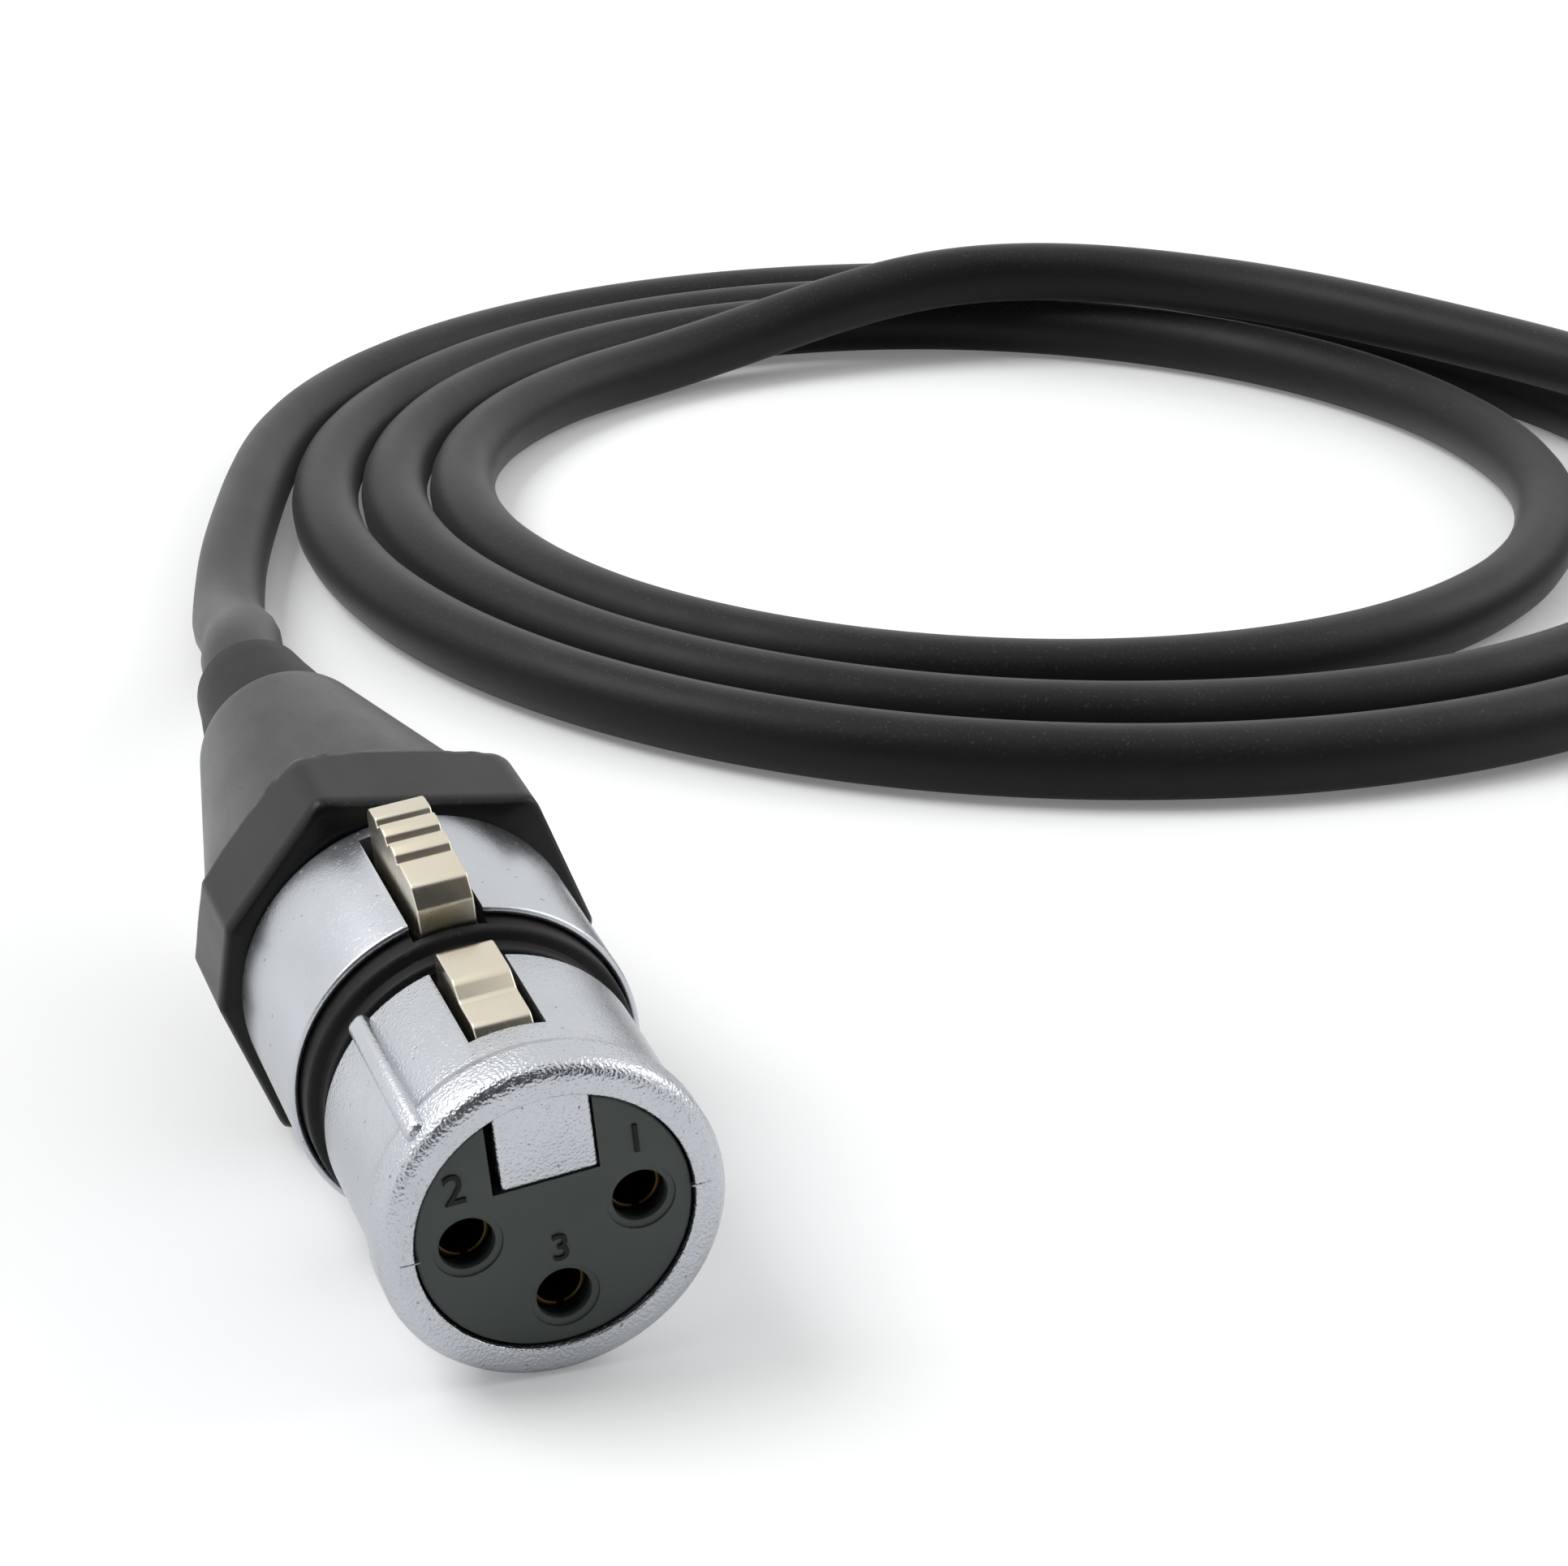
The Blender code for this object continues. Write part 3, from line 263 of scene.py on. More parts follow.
def piece(name, shape, place, material, nodes, body="cable_set", smooth_angle=32.0):
    """Puts a finished shape in its place and lets it stand for its CAD nodes."""
    bmesh.ops.transform(shape, matrix=place, verts=shape.verts)
    mesh = bpy.data.meshes.new(name)
    shape.to_mesh(mesh)
    shape.free()
    mesh.shade_smooth()
    mesh.set_sharp_from_angle(angle=radians(smooth_angle))
    mesh.materials.append(material)
    thing = bpy.data.objects.new(name, mesh)
    bpy.context.scene.collection.objects.link(thing)
    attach(thing, body)
    if nodes:
        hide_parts(*nodes)
    return thing


def on_circle(radius, degrees, y=0.0):
    return Vector((radius * cos(radians(degrees)), y, radius * sin(radians(degrees))))


# --- material groups ---
def new_group(name, inputs, outputs):
    group = bpy.data.node_groups.new(name, "ShaderNodeTree")
    for label, value in inputs.items():
        if label == "Vector":
            group.interface.new_socket(name=label, in_out="INPUT", socket_type="NodeSocketVector")
            continue
        socket = group.interface.new_socket(name=label, in_out="INPUT",
                                            socket_type="NodeSocketFloat")
        socket.default_value = value
    for label in outputs:
        group.interface.new_socket(name=label, in_out="OUTPUT", socket_type="NodeSocketFloat")
    start = group.nodes.new("NodeGroupInput")
    end = group.nodes.new("NodeGroupOutput")
    return group, start, end


def add(tree, kind, **settings):
    node = tree.nodes.new(kind)
    for key, value in settings.items():
        if key in node.inputs:
            node.inputs[key].default_value = value
        else:
            setattr(node, key, value)
    return node


def feed(tree, socket, value):
    """Links a socket to the output that is given, or sets it to a plain value."""
    if isinstance(value, bpy.types.NodeSocket):
        tree.links.new(value, socket)
    else:
        socket.default_value = value


def math_node(tree, operation, first, second):
    node = add(tree, "ShaderNodeMath", operation=operation)
    feed(tree, node.inputs[0], first)
    feed(tree, node.inputs[1], second)
    return node.outputs[0]


def ramp(tree, source, low, high):
    """A smooth step of a value, from 0 at low to 1 at high."""
    node = add(tree, "ShaderNodeMapRange", interpolation_type="SMOOTHSTEP")
    node.inputs["From Min"].default_value = low
    node.inputs["From Max"].default_value = high
    tree.links.new(source, node.inputs["Value"])
    return node.outputs["Result"]


def noise(tree, vector, scale, detail=2.0, roughness=0.5):
    node = add(tree, "ShaderNodeTexNoise", Detail=detail, Roughness=roughness)
    tree.links.new(vector, node.inputs["Vector"])
    feed(tree, node.inputs["Scale"], scale)
    return node.outputs["Fac"]


# Scales of the patterns, in features per metre, and the shares in which they are mixed.
BLOTCH_SCALE = 210.0           # slow change of tone over a casting
SMEAR_SCALE = 160.0            # fingers and rubbing
SMEAR_STRETCH = 0.35           # how drawn out the smears are along Y
FILM_SCALE = 90.0              # thin film of dust
FILM_SHARE = 0.25
SPECK_SCALE = 3800.0           # single specks of dust
TONE_SCALE = 240.0             # slow change of tone over plastic and rubber
PEEL_SHARE = 0.6               # of the cells and of the fine noise in the orange peel
PIT_DEPTH = 0.9                # of a pit, against the orange peel


def cast_skin_group():
    """The skin of a die casting: shallow orange peel, and a few sharp pits."""
    group, start, end = new_group("cast skin", {"Vector": None, "Grain": 2600.0, "Pits": 900.0},
                                  ["Height", "Pit", "Blotch"])
    vector, grain = start.outputs["Vector"], start.outputs["Grain"]
    fine = noise(group, vector, grain, 2.5, 0.55)
    cells = add(group, "ShaderNodeTexVoronoi", feature="SMOOTH_F1", Smoothness=0.6)
    group.links.new(vector, cells.inputs["Vector"])
    group.links.new(grain, cells.inputs["Scale"])
    coarse = math_node(group, "MULTIPLY", cells.outputs["Distance"], PEEL_SHARE)
    bumps = math_node(group, "ADD", coarse, math_node(group, "MULTIPLY", fine, PEEL_SHARE))
    pit = ramp(group, noise(group, vector, start.outputs["Pits"], 1.0, 0.4), 0.74, 0.80)
    height = math_node(group, "SUBTRACT", bumps, math_node(group, "MULTIPLY", pit, PIT_DEPTH))
    group.links.new(height, end.inputs["Height"])
    group.links.new(pit, end.inputs["Pit"])
    group.links.new(noise(group, vector, BLOTCH_SCALE, 3.0), end.inputs["Blotch"])
    return group


def handling_group():
    """What hands and shelves leave on a surface: smears that dull it, and dust that settles."""
    group, start, end = new_group("handling", {"Vector": None, "Smear": 1.0, "Dust": 1.0},
                                  ["Smear", "Dust"])
    vector = start.outputs["Vector"]
    stretched = add(group, "ShaderNodeMapping", Scale=(1.0, SMEAR_STRETCH, 1.0))
    group.links.new(vector, stretched.inputs["Vector"])
    rubbed = noise(group, stretched.outputs["Vector"], SMEAR_SCALE, 4.0, 0.6)
    smear = ramp(group, rubbed, 0.35, 0.75)
    split = add(group, "ShaderNodeSeparateXYZ")
    group.links.new(add(group, "ShaderNodeNewGeometry").outputs["Normal"], split.inputs["Vector"])
    upward = ramp(group, split.outputs["Z"], 0.1, 1.0)
    specks = ramp(group, noise(group, vector, SPECK_SCALE, 1.0), 0.62, 0.74)
    film = ramp(group, noise(group, vector, FILM_SCALE, 3.0), 0.4, 0.8)
    settled = math_node(group, "ADD", specks, math_node(group, "MULTIPLY", film, FILM_SHARE))
    dust = math_node(group, "MULTIPLY", settled, upward)
    for label, value in (("Smear", smear), ("Dust", dust)):
        amount = math_node(group, "MULTIPLY", value, start.outputs[label])
        group.links.new(amount, end.inputs[label])
    return group


def grain_group():
    """The fine matt grain of moulded plastic and extruded rubber."""
    group, start, end = new_group("moulded grain", {"Vector": None, "Scale": 4000.0},
                                  ["Height", "Tone"])
    vector = start.outputs["Vector"]
    group.links.new(noise(group, vector, start.outputs["Scale"], 3.0, 0.6), end.inputs["Height"])
    group.links.new(noise(group, vector, TONE_SCALE, 3.0, 0.6), end.inputs["Tone"])
    return group


CAST_SKIN = cast_skin_group()
HANDLING = handling_group()
GRAIN = grain_group()


# --- materials ---
NOSE_GRAIN_END = -0.0195       # y where the coarse grain of the nose has died out
RIM_GRAIN_END = -0.0290        # and that of its rim
GRAIN_FADE = 0.002             # over which it dies out
SLEEVE_GRAIN = 0.20            # depth of the grain, against the whole depth, on the sleeve
NOSE_GRAIN = 0.5               # what the nose adds to it
RIM_GRAIN = 0.9                # and what its rim adds to that
CUP_GRAIN = 0.15               # depth of the grain on the male connector's cup
CUP_SMEAR = 0.45               # how much its smears show


class Finish:
    """A Principled material on Object coordinates, with small helpers to build its nodes."""

    def __init__(self, name, roughness, metallic=0.0, **constants):
        self.material = bpy.data.materials.new(name)
        self.material.use_nodes = True
        self.tree = self.material.node_tree
        self.shader = self.tree.nodes["Principled BSDF"]
        self.shader.inputs["Roughness"].default_value = roughness
        self.shader.inputs["Metallic"].default_value = metallic
        for label, value in constants.items():
            self.shader.inputs[label.replace("_", " ")].default_value = value
        self.vector = self.tree.nodes.new("ShaderNodeTexCoord").outputs["Object"]

    def group(self, group, **values):
        node = self.tree.nodes.new("ShaderNodeGroup")
        node.node_tree = group
        self.tree.links.new(self.vector, node.inputs["Vector"])
        for label, value in values.items():
            node.inputs[label].default_value = value
        return node

    def mix(self, factor, first, second):
        """Two colours, each a tuple or an output, mixed by a factor."""
        node = add(self.tree, "ShaderNodeMix", data_type="RGBA")
        self.tree.links.new(factor, node.inputs["Factor"])
        for socket, value in ((node.inputs[6], first), (node.inputs[7], second)):
            feed(self.tree, socket, (*value, 1.0) if isinstance(value, tuple) else value)
        return node.outputs[2]

    def colour(self, source):
        self.tree.links.new(source, self.shader.inputs["Base Color"])

    def roughness(self, base, *shares):
        """The base roughness plus each (source, amount)."""
        total = base
        for source, amount in shares:
            share = math_node(self.tree, "MULTIPLY", source, amount)
            total = math_node(self.tree, "ADD", share, total)
        self.tree.links.new(total, self.shader.inputs["Roughness"])

    def bump(self, height, distance, strength):
        node = add(self.tree, "ShaderNodeBump", Strength=strength, Distance=distance)
        self.tree.links.new(height, node.inputs["Height"])
        self.tree.links.new(node.outputs["Normal"], self.shader.inputs["Normal"])


def satin_nickel(name, on_the_nose):
    """The plated casting. Its nose keeps the grain of the die, and the sleeve is smoother."""
    finish = Finish(name, 0.34, 1.0)
    skin = finish.group(CAST_SKIN, Grain=5600.0, Pits=2300.0)
    hands = finish.group(HANDLING, Smear=1.0 if on_the_nose else CUP_SMEAR, Dust=0.35)
    clean = finish.mix(skin.outputs["Blotch"], (0.50, 0.525, 0.56), (0.58, 0.60, 0.635))
    pitted = finish.mix(skin.outputs["Pit"], clean, (0.30, 0.30, 0.30))
    finish.colour(finish.mix(hands.outputs["Dust"], pitted, (0.70, 0.69, 0.67)))
    finish.roughness(0.25, (hands.outputs["Smear"], 0.10), (skin.outputs["Pit"], 0.25),
                     (hands.outputs["Dust"], 0.20))
    height = skin.outputs["Height"]
    if on_the_nose:
        tree = finish.tree
        split = add(tree, "ShaderNodeSeparateXYZ")
        tree.links.new(finish.vector, split.inputs["Vector"])
        depth = SLEEVE_GRAIN
        for end, amount in ((NOSE_GRAIN_END, NOSE_GRAIN), (RIM_GRAIN_END, RIM_GRAIN)):
            share = ramp(tree, split.outputs["Y"], end, end - GRAIN_FADE)
            depth = math_node(tree, "ADD", math_node(tree, "MULTIPLY", share, amount), depth)
        height = math_node(tree, "MULTIPLY", height, depth)
    finish.bump(height, 0.000045, 1.0 if on_the_nose else CUP_GRAIN)
    return finish.material


def champagne_nickel():
    finish = Finish("champagne nickel", 0.3, 1.0)
    skin = finish.group(CAST_SKIN, Grain=900.0, Pits=700.0)
    hands = finish.group(HANDLING, Smear=1.0, Dust=0.4)
    tone = finish.mix(skin.outputs["Blotch"], (0.66, 0.60, 0.48), (0.76, 0.71, 0.60))
    finish.colour(finish.mix(hands.outputs["Smear"], tone, (0.68, 0.61, 0.49)))
    finish.roughness(0.24, (hands.outputs["Smear"], 0.12), (hands.outputs["Dust"], 0.20))
    finish.bump(skin.outputs["Height"], 0.000012, 0.5)
    return finish.material


def moulded(name, dark, light, roughness, scale=4200.0, gloss=0.5, bloom=0.0):
    """Moulded plastic or rubber. Bloom is the pale film that shows where it is seen edge on."""
    finish = Finish(name, roughness, Specular_IOR_Level=gloss, Sheen_Weight=bloom,
                    Sheen_Roughness=0.45)
    grain = finish.group(GRAIN, Scale=scale)
    hands = finish.group(HANDLING, Smear=1.0, Dust=0.5)
    tone = finish.mix(grain.outputs["Tone"], dark, light)
    finish.colour(finish.mix(hands.outputs["Dust"], tone, tuple(2.0 * c + 0.03 for c in light)))
    finish.roughness(roughness, (hands.outputs["Smear"], 0.10), (hands.outputs["Dust"], 0.25))
    finish.bump(grain.outputs["Height"], 0.00001, 0.6)
    return finish.material


def jacket():
    """Matt extruded jacket: a soft grain, faint draw marks along it and a little dust."""
    finish = Finish("cable jacket", 0.5, Specular_IOR_Level=0.16, Sheen_Weight=0.18,
                    Sheen_Roughness=0.5)
    grain = finish.group(GRAIN, Scale=2600.0)
    hands = finish.group(HANDLING, Smear=0.8, Dust=0.7)
    tone = finish.mix(grain.outputs["Tone"], (0.0035, 0.0035, 0.0037), (0.0062, 0.0062, 0.0065))
    finish.colour(finish.mix(hands.outputs["Dust"], tone, (0.05, 0.049, 0.046)))
    finish.roughness(0.44, (hands.outputs["Smear"], 0.10), (hands.outputs["Dust"], 0.20))
    finish.bump(grain.outputs["Height"], 0.00003, 0.5)
    return finish.material


def plated(name, low, high, roughness):
    finish = Finish(name, roughness, 1.0)
    skin = finish.group(CAST_SKIN, Grain=1500.0, Pits=500.0)
    finish.colour(finish.mix(skin.outputs["Blotch"], low, high))
    finish.roughness(roughness, (skin.outputs["Blotch"], 0.12))
    finish.bump(skin.outputs["Height"], 0.000008, 0.4)
    return finish.material


FINISHES = {
    "satin_nickel": satin_nickel("satin nickel casting", True),
    "cup_nickel": satin_nickel("satin nickel cup", False),
    "champagne_nickel": champagne_nickel(),
    "insert_plastic": moulded("insert plastic", (0.031, 0.042, 0.0385), (0.043, 0.0555, 0.0515),
                              0.38),
    # The numerals' plastic is painted darker than the insert's, as the shade in and around their
    # raised strokes.
    "numeral": moulded("raised numeral painted dark as shade", (0.0045, 0.0055, 0.0053), (0.008, 0.0095, 0.009), 0.42,
                       gloss=0.2),
    # The socket contacts' gold is painted far darker than the pins' gold, as the shade deep in
    # their holes.
    "contact_in_shade": plated("gold painted dark as shade in the holes", (0.050, 0.030, 0.010), (0.16, 0.10, 0.036),
                               0.34),
    "black_plastic": moulded("boot plastic", (0.0022, 0.0023, 0.0023), (0.0042, 0.0044, 0.0044),
                             0.30, scale=5200.0, gloss=0.20, bloom=0.095),
    "black_rubber": moulded("black rubber", (0.006, 0.006, 0.0063), (0.010, 0.010, 0.0105), 0.50,
                            scale=3000.0, gloss=0.18, bloom=0.05),
    "pale_plastic": moulded("chuck plastic", (0.40, 0.40, 0.38), (0.47, 0.47, 0.45), 0.45),
    "cable_jacket": jacket(),
    "contact_gold": plated("gold plate", (0.72, 0.47, 0.14), (0.86, 0.60, 0.24), 0.18),
    "spring_steel": plated("spring steel", (0.42, 0.42, 0.43), (0.56, 0.56, 0.57), 0.25),
    "bare_screen": plated("bare screen", (0.58, 0.42, 0.30), (0.72, 0.56, 0.42), 0.35),
    "red_wire": moulded("red insulation", (0.38, 0.018, 0.015), (0.50, 0.03, 0.025), 0.40),
    "white_wire": moulded("white insulation", (0.70, 0.70, 0.68), (0.78, 0.78, 0.76), 0.40),
}


def finish_cad_nodes():
    """The hidden inner pieces keep their CAD shapes and take their slots' finishes."""
    slots = {part["node"]: part["material_slot"] for part in frame["record"]["subparts"]}
    for name, node in frame["nodes"].items():
        node.data.materials.clear()
        node.data.materials.append(FINISHES[slots[name]])


# --- sizes of both connectors ---
BORE_RADIUS = 0.0076
INSERT_RADIUS = 0.00748
INSERT_REAR = 0.0220
CONTACT_CIRCLE = 0.0047
SOCKET_PLACES = {1: 0.0, 2: 180.0, 3: 270.0}     # degrees from +X in the female face
PLUG_PLACES = {1: 180.0, 2: 0.0, 3: 270.0}
SLEEVE_REAR = 0.0282
THREAD_RADIUS = 0.0086
THREAD_END = 0.0400
RIB_ANGLE = radians(-42.0)
NUMERAL_HEIGHT = 0.00012       # the numerals stand this far off the insert's face
NUMERAL_ROOT = 0.0001          # and reach this far into it
SOLDER_CUP_RADIUS = 0.0015
SOLDER_CUP_BORE = 0.00095
SOLDER_CUP_FLOOR = 0.0217
SOLDER_CUP_REAR = 0.0246
COLLAR_FRONT = 0.0285
COLLAR_REAR = 0.0352
COLLAR_APOTHEM = 0.0105        # from the axis to the top and bottom wrench flats
COLLAR_HALF_FLAT = 0.0064
COLLAR_SIDE = 0.0109           # from the axis to the side flats
COLLAR_HALF_SIDE = 0.0025
COLLAR_BLEND = 0.00025         # how softly the flats meet the turned shape
COLLAR_BEVEL = 0.0003          # of the flats' front edges
BOOT_FRONT = COLLAR_REAR + 0.0007    # where the taper begins
BOOT_REAR = 0.0582
BOOT_NECK = 0.0102             # the taper's radius in front
BOOT_SHOULDER = 0.00575        # and at its rear
BOOT_THREAD = 0.0089           # the turned inside of the collar
GLAND_RADIUS = 0.00495
GLAND_BORE = 0.00305
GLAND_FLANGE = 0.00595
GLAND_TIP = 0.0037


# --- female connector ---
RIM_RADIUS = 0.00945
RIM_REAR = 0.0026
BARREL_RADIUS = 0.00905
BARREL_FRONT = 0.0034
GROOVE_FRONT = 0.0129
GROOVE_RADIUS = 0.0080
LIP_FRONT = 0.01645
LIP_INSIDE = 0.0095
LIP_FLOOR = 0.02005            # where the undercut of the lip ends
SLEEVE_RADIUS = 0.0100
SLOT_HALF = 0.0021             # half the width of the latch's slot
SLOT_FRONT = 0.0052
SLOT_REAR = 0.0269
SLOT_EDGE = 0.00013            # rounding of the slot's edges
TAB_HALF = 0.0026
TAB_FLOOR = 0.0028
TAB_REAR = 0.0048
RIB_HALF = 0.00065
RIB_TOP = 0.00985
SEAM_HALF = 0.00004
SEAM_RADIUS = 0.0079
INSERT_FACE = 0.0003
HOLE_RADIUS = 0.00148
HOLE_DEPTH = 0.0014
HOLE_CHAMFER = 0.00042
CHAMBER_RADIUS = 0.00172       # behind a hole, around its contact
CHAMBER_FRONT = 0.0009
CHANNEL_HALF = 0.0022          # in the insert, below the latch
CHANNEL_FRONT = 0.0048
CHANNEL_FLOOR = 0.0034
CONTACT_RADIUS = 0.0016
CONTACT_BORE = 0.00125
CONTACT_FRONT = 0.0017
CONTACT_FLOOR = 0.0142
CONTACT_REAR = 0.0210
HINGE_Y = 0.0066
HINGE_Z = 0.0056
HINGE_BORE = 0.00062
LUG_RADIUS = 0.0011
LATCH_HALF = 0.0016
LATCH_BOTTOM = 0.0061
BRIDGE_TOP = 0.0076            # of the latch, below the seal
TOOTH_FRONT = 0.0055
TOOTH_LOW = 0.0091
TOOTH_HIGH = 0.0099
TOOTH_REAR = 0.0133
BUTTON_FRONT = 0.0160
BUTTON_REAR = 0.0260
BUTTON_EDGE = 0.0119           # top of the button's front ridge, above the axis
BUTTON_TOP = 0.0126            # top of its rear ridge
RIDGES = 4
RIDGE_FIRST = 0.0176           # where the ridges begin
RIDGE_DEPTH = 0.00042
SPRING_Y = 0.0200
SPRING_RADIUS = 0.0010         # of the wire's centre line
SPRING_WIRE = 0.0002
SPRING_LOW = 0.0039            # the wire's centre line at the spring's foot and head
SPRING_HIGH = 0.0056
SPRING_TURNS = 3
SEAL_RADIUS = 0.00868
SEAL_REAR_RADIUS = 0.0094      # of its rear part, which fills the undercut of the lip
SEAL_BORE = 0.00806


def slot_edge(edge):
    """Whether an edge of the shell is a long or front edge of the latch's slot."""
    ends = [v.co for v in edge.verts]
    if min(c.z for c in ends) < 0.0 or max(abs(c.x) for c in ends) > SLOT_HALF + 1e-5:
        return False
    if min(hypot(c.x, c.z) for c in ends) < BORE_RADIUS + 0.0002:
        return False
    side = all(abs(abs(c.x) - SLOT_HALF) < 1e-5 for c in ends)
    front = all(abs(c.y - SLOT_FRONT) < 1e-5 for c in ends)
    return (side or front) and edge.calc_face_angle(0.0) > 0.6


def socket_shell():
    outline = filleted([
        (BORE_RADIUS, 0.0, 0.00012),
        (RIM_RADIUS, 0.0, 0.0012),
        (RIM_RADIUS, RIM_REAR, 0.0009),
        (BARREL_RADIUS, BARREL_FRONT, 0.0009),
        (BARREL_RADIUS, GROOVE_FRONT, 0.00022),
        (GROOVE_RADIUS, GROOVE_FRONT, 0.0),
        (GROOVE_RADIUS, LIP_FLOOR, 0.0),
        (LIP_INSIDE, LIP_FLOOR, 0.0),
        (LIP_INSIDE, LIP_FRONT, 0.00024),
        (SLEEVE_RADIUS, LIP_FRONT, 0.00024),
        (SLEEVE_RADIUS, SLEEVE_REAR, 0.0004),
        (THREAD_RADIUS, SLEEVE_REAR, 0.0),
        (THREAD_RADIUS, THREAD_END, 0.0004),
        (BORE_RADIUS, THREAD_END, 0.0),
    ], 5)
    slot = block((-SLOT_HALF, SLOT_FRONT, 0.004), (SLOT_HALF, SLOT_REAR, 0.02))
    shell = rounded_edges(combined(spun(outline, 120), [slot]), slot_edge, SLOT_EDGE)
    tab = block((-TAB_HALF, 0.00003, TAB_FLOOR), (TAB_HALF, TAB_REAR, 0.0079), 0.00022)
    rib = block((-RIB_HALF, 0.0009, 0.0082), (RIB_HALF, 0.01285, RIB_TOP), 0.00046, 4)
    turn = Matrix.Rotation(RIB_ANGLE, 3, "Y")
    bmesh.ops.rotate(rib, cent=(0, 0, 0), matrix=turn, verts=rib.verts)
    seams = [block((side * SEAM_RADIUS - 0.0005, -0.00004, -SEAM_HALF),
                   (side * SEAM_RADIUS + 0.00055, 0.0003, SEAM_HALF), 0.00003, 1)
             for side in (-1, 1)]
    shell = combined(shell, [tab, rib] + seams, "UNION")
    return piece("connector_shell", shell, SHELL_FRAME, FINISHES["satin_nickel"],
                 ["socket_shell"])


def hole_cutter(place):
    """A contact hole with a countersunk mouth, open to the front."""
    wide = HOLE_RADIUS + HOLE_CHAMFER
    outline = [(0.0, -0.001), (wide, -0.001), (wide, 0.00034),
               (HOLE_RADIUS + 0.92 * HOLE_CHAMFER, 0.00044),
               (HOLE_RADIUS + 0.12 * HOLE_CHAMFER, 0.00052), (HOLE_RADIUS, 0.00062),
               (HOLE_RADIUS, HOLE_DEPTH), (0.0, HOLE_DEPTH)]
    cutter = spun(outline, 64)
    bmesh.ops.translate(cutter, vec=place, verts=cutter.verts)
    return cutter


def numeral(number, x, z, height, face):
    """A plain numeral as a solid that stands off an insert's face."""
    front, rear = face - NUMERAL_HEIGHT, face + NUMERAL_ROOT
    text = bpy.data.curves.new("numeral", "FONT")
    text.body = str(number)
    text.size = height * 1.42
    text.align_x = "CENTER"
    text.align_y = "CENTER"
    text.extrude = 0.5 * (rear - front)
    text.resolution_u = 6
    text.offset = 0.00001
    holder = bpy.data.objects.new("numeral", text)
    bpy.context.scene.collection.objects.link(holder)
    shape = shape_of(holder)
    turn = Matrix.Translation((x, 0.5 * (front + rear), z)) @ Matrix.Rotation(pi / 2, 4, "X")
    bmesh.ops.transform(shape, matrix=turn, verts=shape.verts)
    bmesh.ops.recalc_face_normals(shape, faces=shape.faces)
    return shape


def socket_insert():
    body = spun(filleted([(0.0, INSERT_FACE, 0.0), (INSERT_RADIUS, INSERT_FACE, 0.00016),
                          (INSERT_RADIUS, INSERT_REAR, 0.0002), (0.0, INSERT_REAR, 0.0)], 4), 120)
    places = SOCKET_PLACES.values()
    cutters = [hole_cutter(on_circle(CONTACT_CIRCLE, degrees)) for degrees in places]
    cutters += [cylinder(CHAMBER_RADIUS, on_circle(CONTACT_CIRCLE, degrees, CHAMBER_FRONT),
                         on_circle(CONTACT_CIRCLE, degrees, 0.03)) for degrees in places]
    cutters.append(block((-0.00305, -0.001, 0.00255), (0.00276, 0.0051, 0.012)))
    cutters.append(block((-CHANNEL_HALF, CHANNEL_FRONT, CHANNEL_FLOOR),
                         (CHANNEL_HALF, 0.03, 0.012)))
    cutters.append(cylinder(HINGE_BORE, (-0.0033, HINGE_Y, HINGE_Z), (0.0033, HINGE_Y, HINGE_Z),
                            24))
    numerals = [numeral(1, 0.0048, 0.0036, 0.0017, INSERT_FACE),
                numeral(2, -0.0050, 0.0035, 0.0018, INSERT_FACE),
                numeral(3, 0.0001, -0.0017, 0.0016, INSERT_FACE)]
    for cutter in cutters:
        body = combined(body, [cutter])
    piece("contact_insert", body, SHELL_FRAME, FINISHES["insert_plastic"],
          ["socket_insert"])
    # The numerals take the darker plastic that paints the shade of their strokes.
    piece("contact_numerals", joined(*numerals), SHELL_FRAME, FINISHES["numeral"],
          [])


def socket_contact(number, degrees):
    """A gold-plated tube with a slit, which closes on the pin, and a solder cup behind."""
    outline = filleted([
        (0.0, CONTACT_FLOOR, 0.0), (CONTACT_BORE, CONTACT_FLOOR, 0.0),
        (CONTACT_BORE, CONTACT_FRONT, 0.0001), (CONTACT_RADIUS, CONTACT_FRONT, 0.00012),
        (CONTACT_RADIUS, CONTACT_REAR, 0.0001), (SOLDER_CUP_RADIUS, CONTACT_REAR + 0.0002, 0.0),
        (SOLDER_CUP_RADIUS, SOLDER_CUP_REAR, 0.0001), (SOLDER_CUP_BORE, SOLDER_CUP_REAR, 0.0001),
        (SOLDER_CUP_BORE, SOLDER_CUP_FLOOR, 0.0), (0.0, SOLDER_CUP_FLOOR, 0.0)], 3)
    slit = block((-0.0002, 0.0, -0.003), (0.0002, 0.0105, 0.003))
    shape = combined(spun(outline, 48), [slit])
    bmesh.ops.translate(shape, vec=on_circle(CONTACT_CIRCLE, degrees), verts=shape.verts)
    # The contact takes the gold painted dark as the shade deep in its hole.
    return piece("contact_%d" % number, shape, SHELL_FRAME, FINISHES["contact_in_shade"],
                 ["socket_contact_%d" % number])


def button_ridges():
    """Corners of the valleys between the button's ridges, from its rear to its front."""
    corners = []
    pitch = (BUTTON_REAR - 0.0006 - RIDGE_FIRST) / RIDGES
    for i in range(RIDGES - 1, 0, -1):
        y = RIDGE_FIRST + pitch * i
        z = BUTTON_EDGE + (BUTTON_TOP - BUTTON_EDGE) * sin(0.5 * pi * i / RIDGES)
        corners += [(y + 0.00036, z + 0.00006, 0.0004), (y, z - RIDGE_DEPTH, 0.00012),
                    (y - 0.00032, z, 0.0004)]
        if i > 1:
            corners.append((y - 0.5 * pitch, z + 0.00008, 0.0012))
    return corners


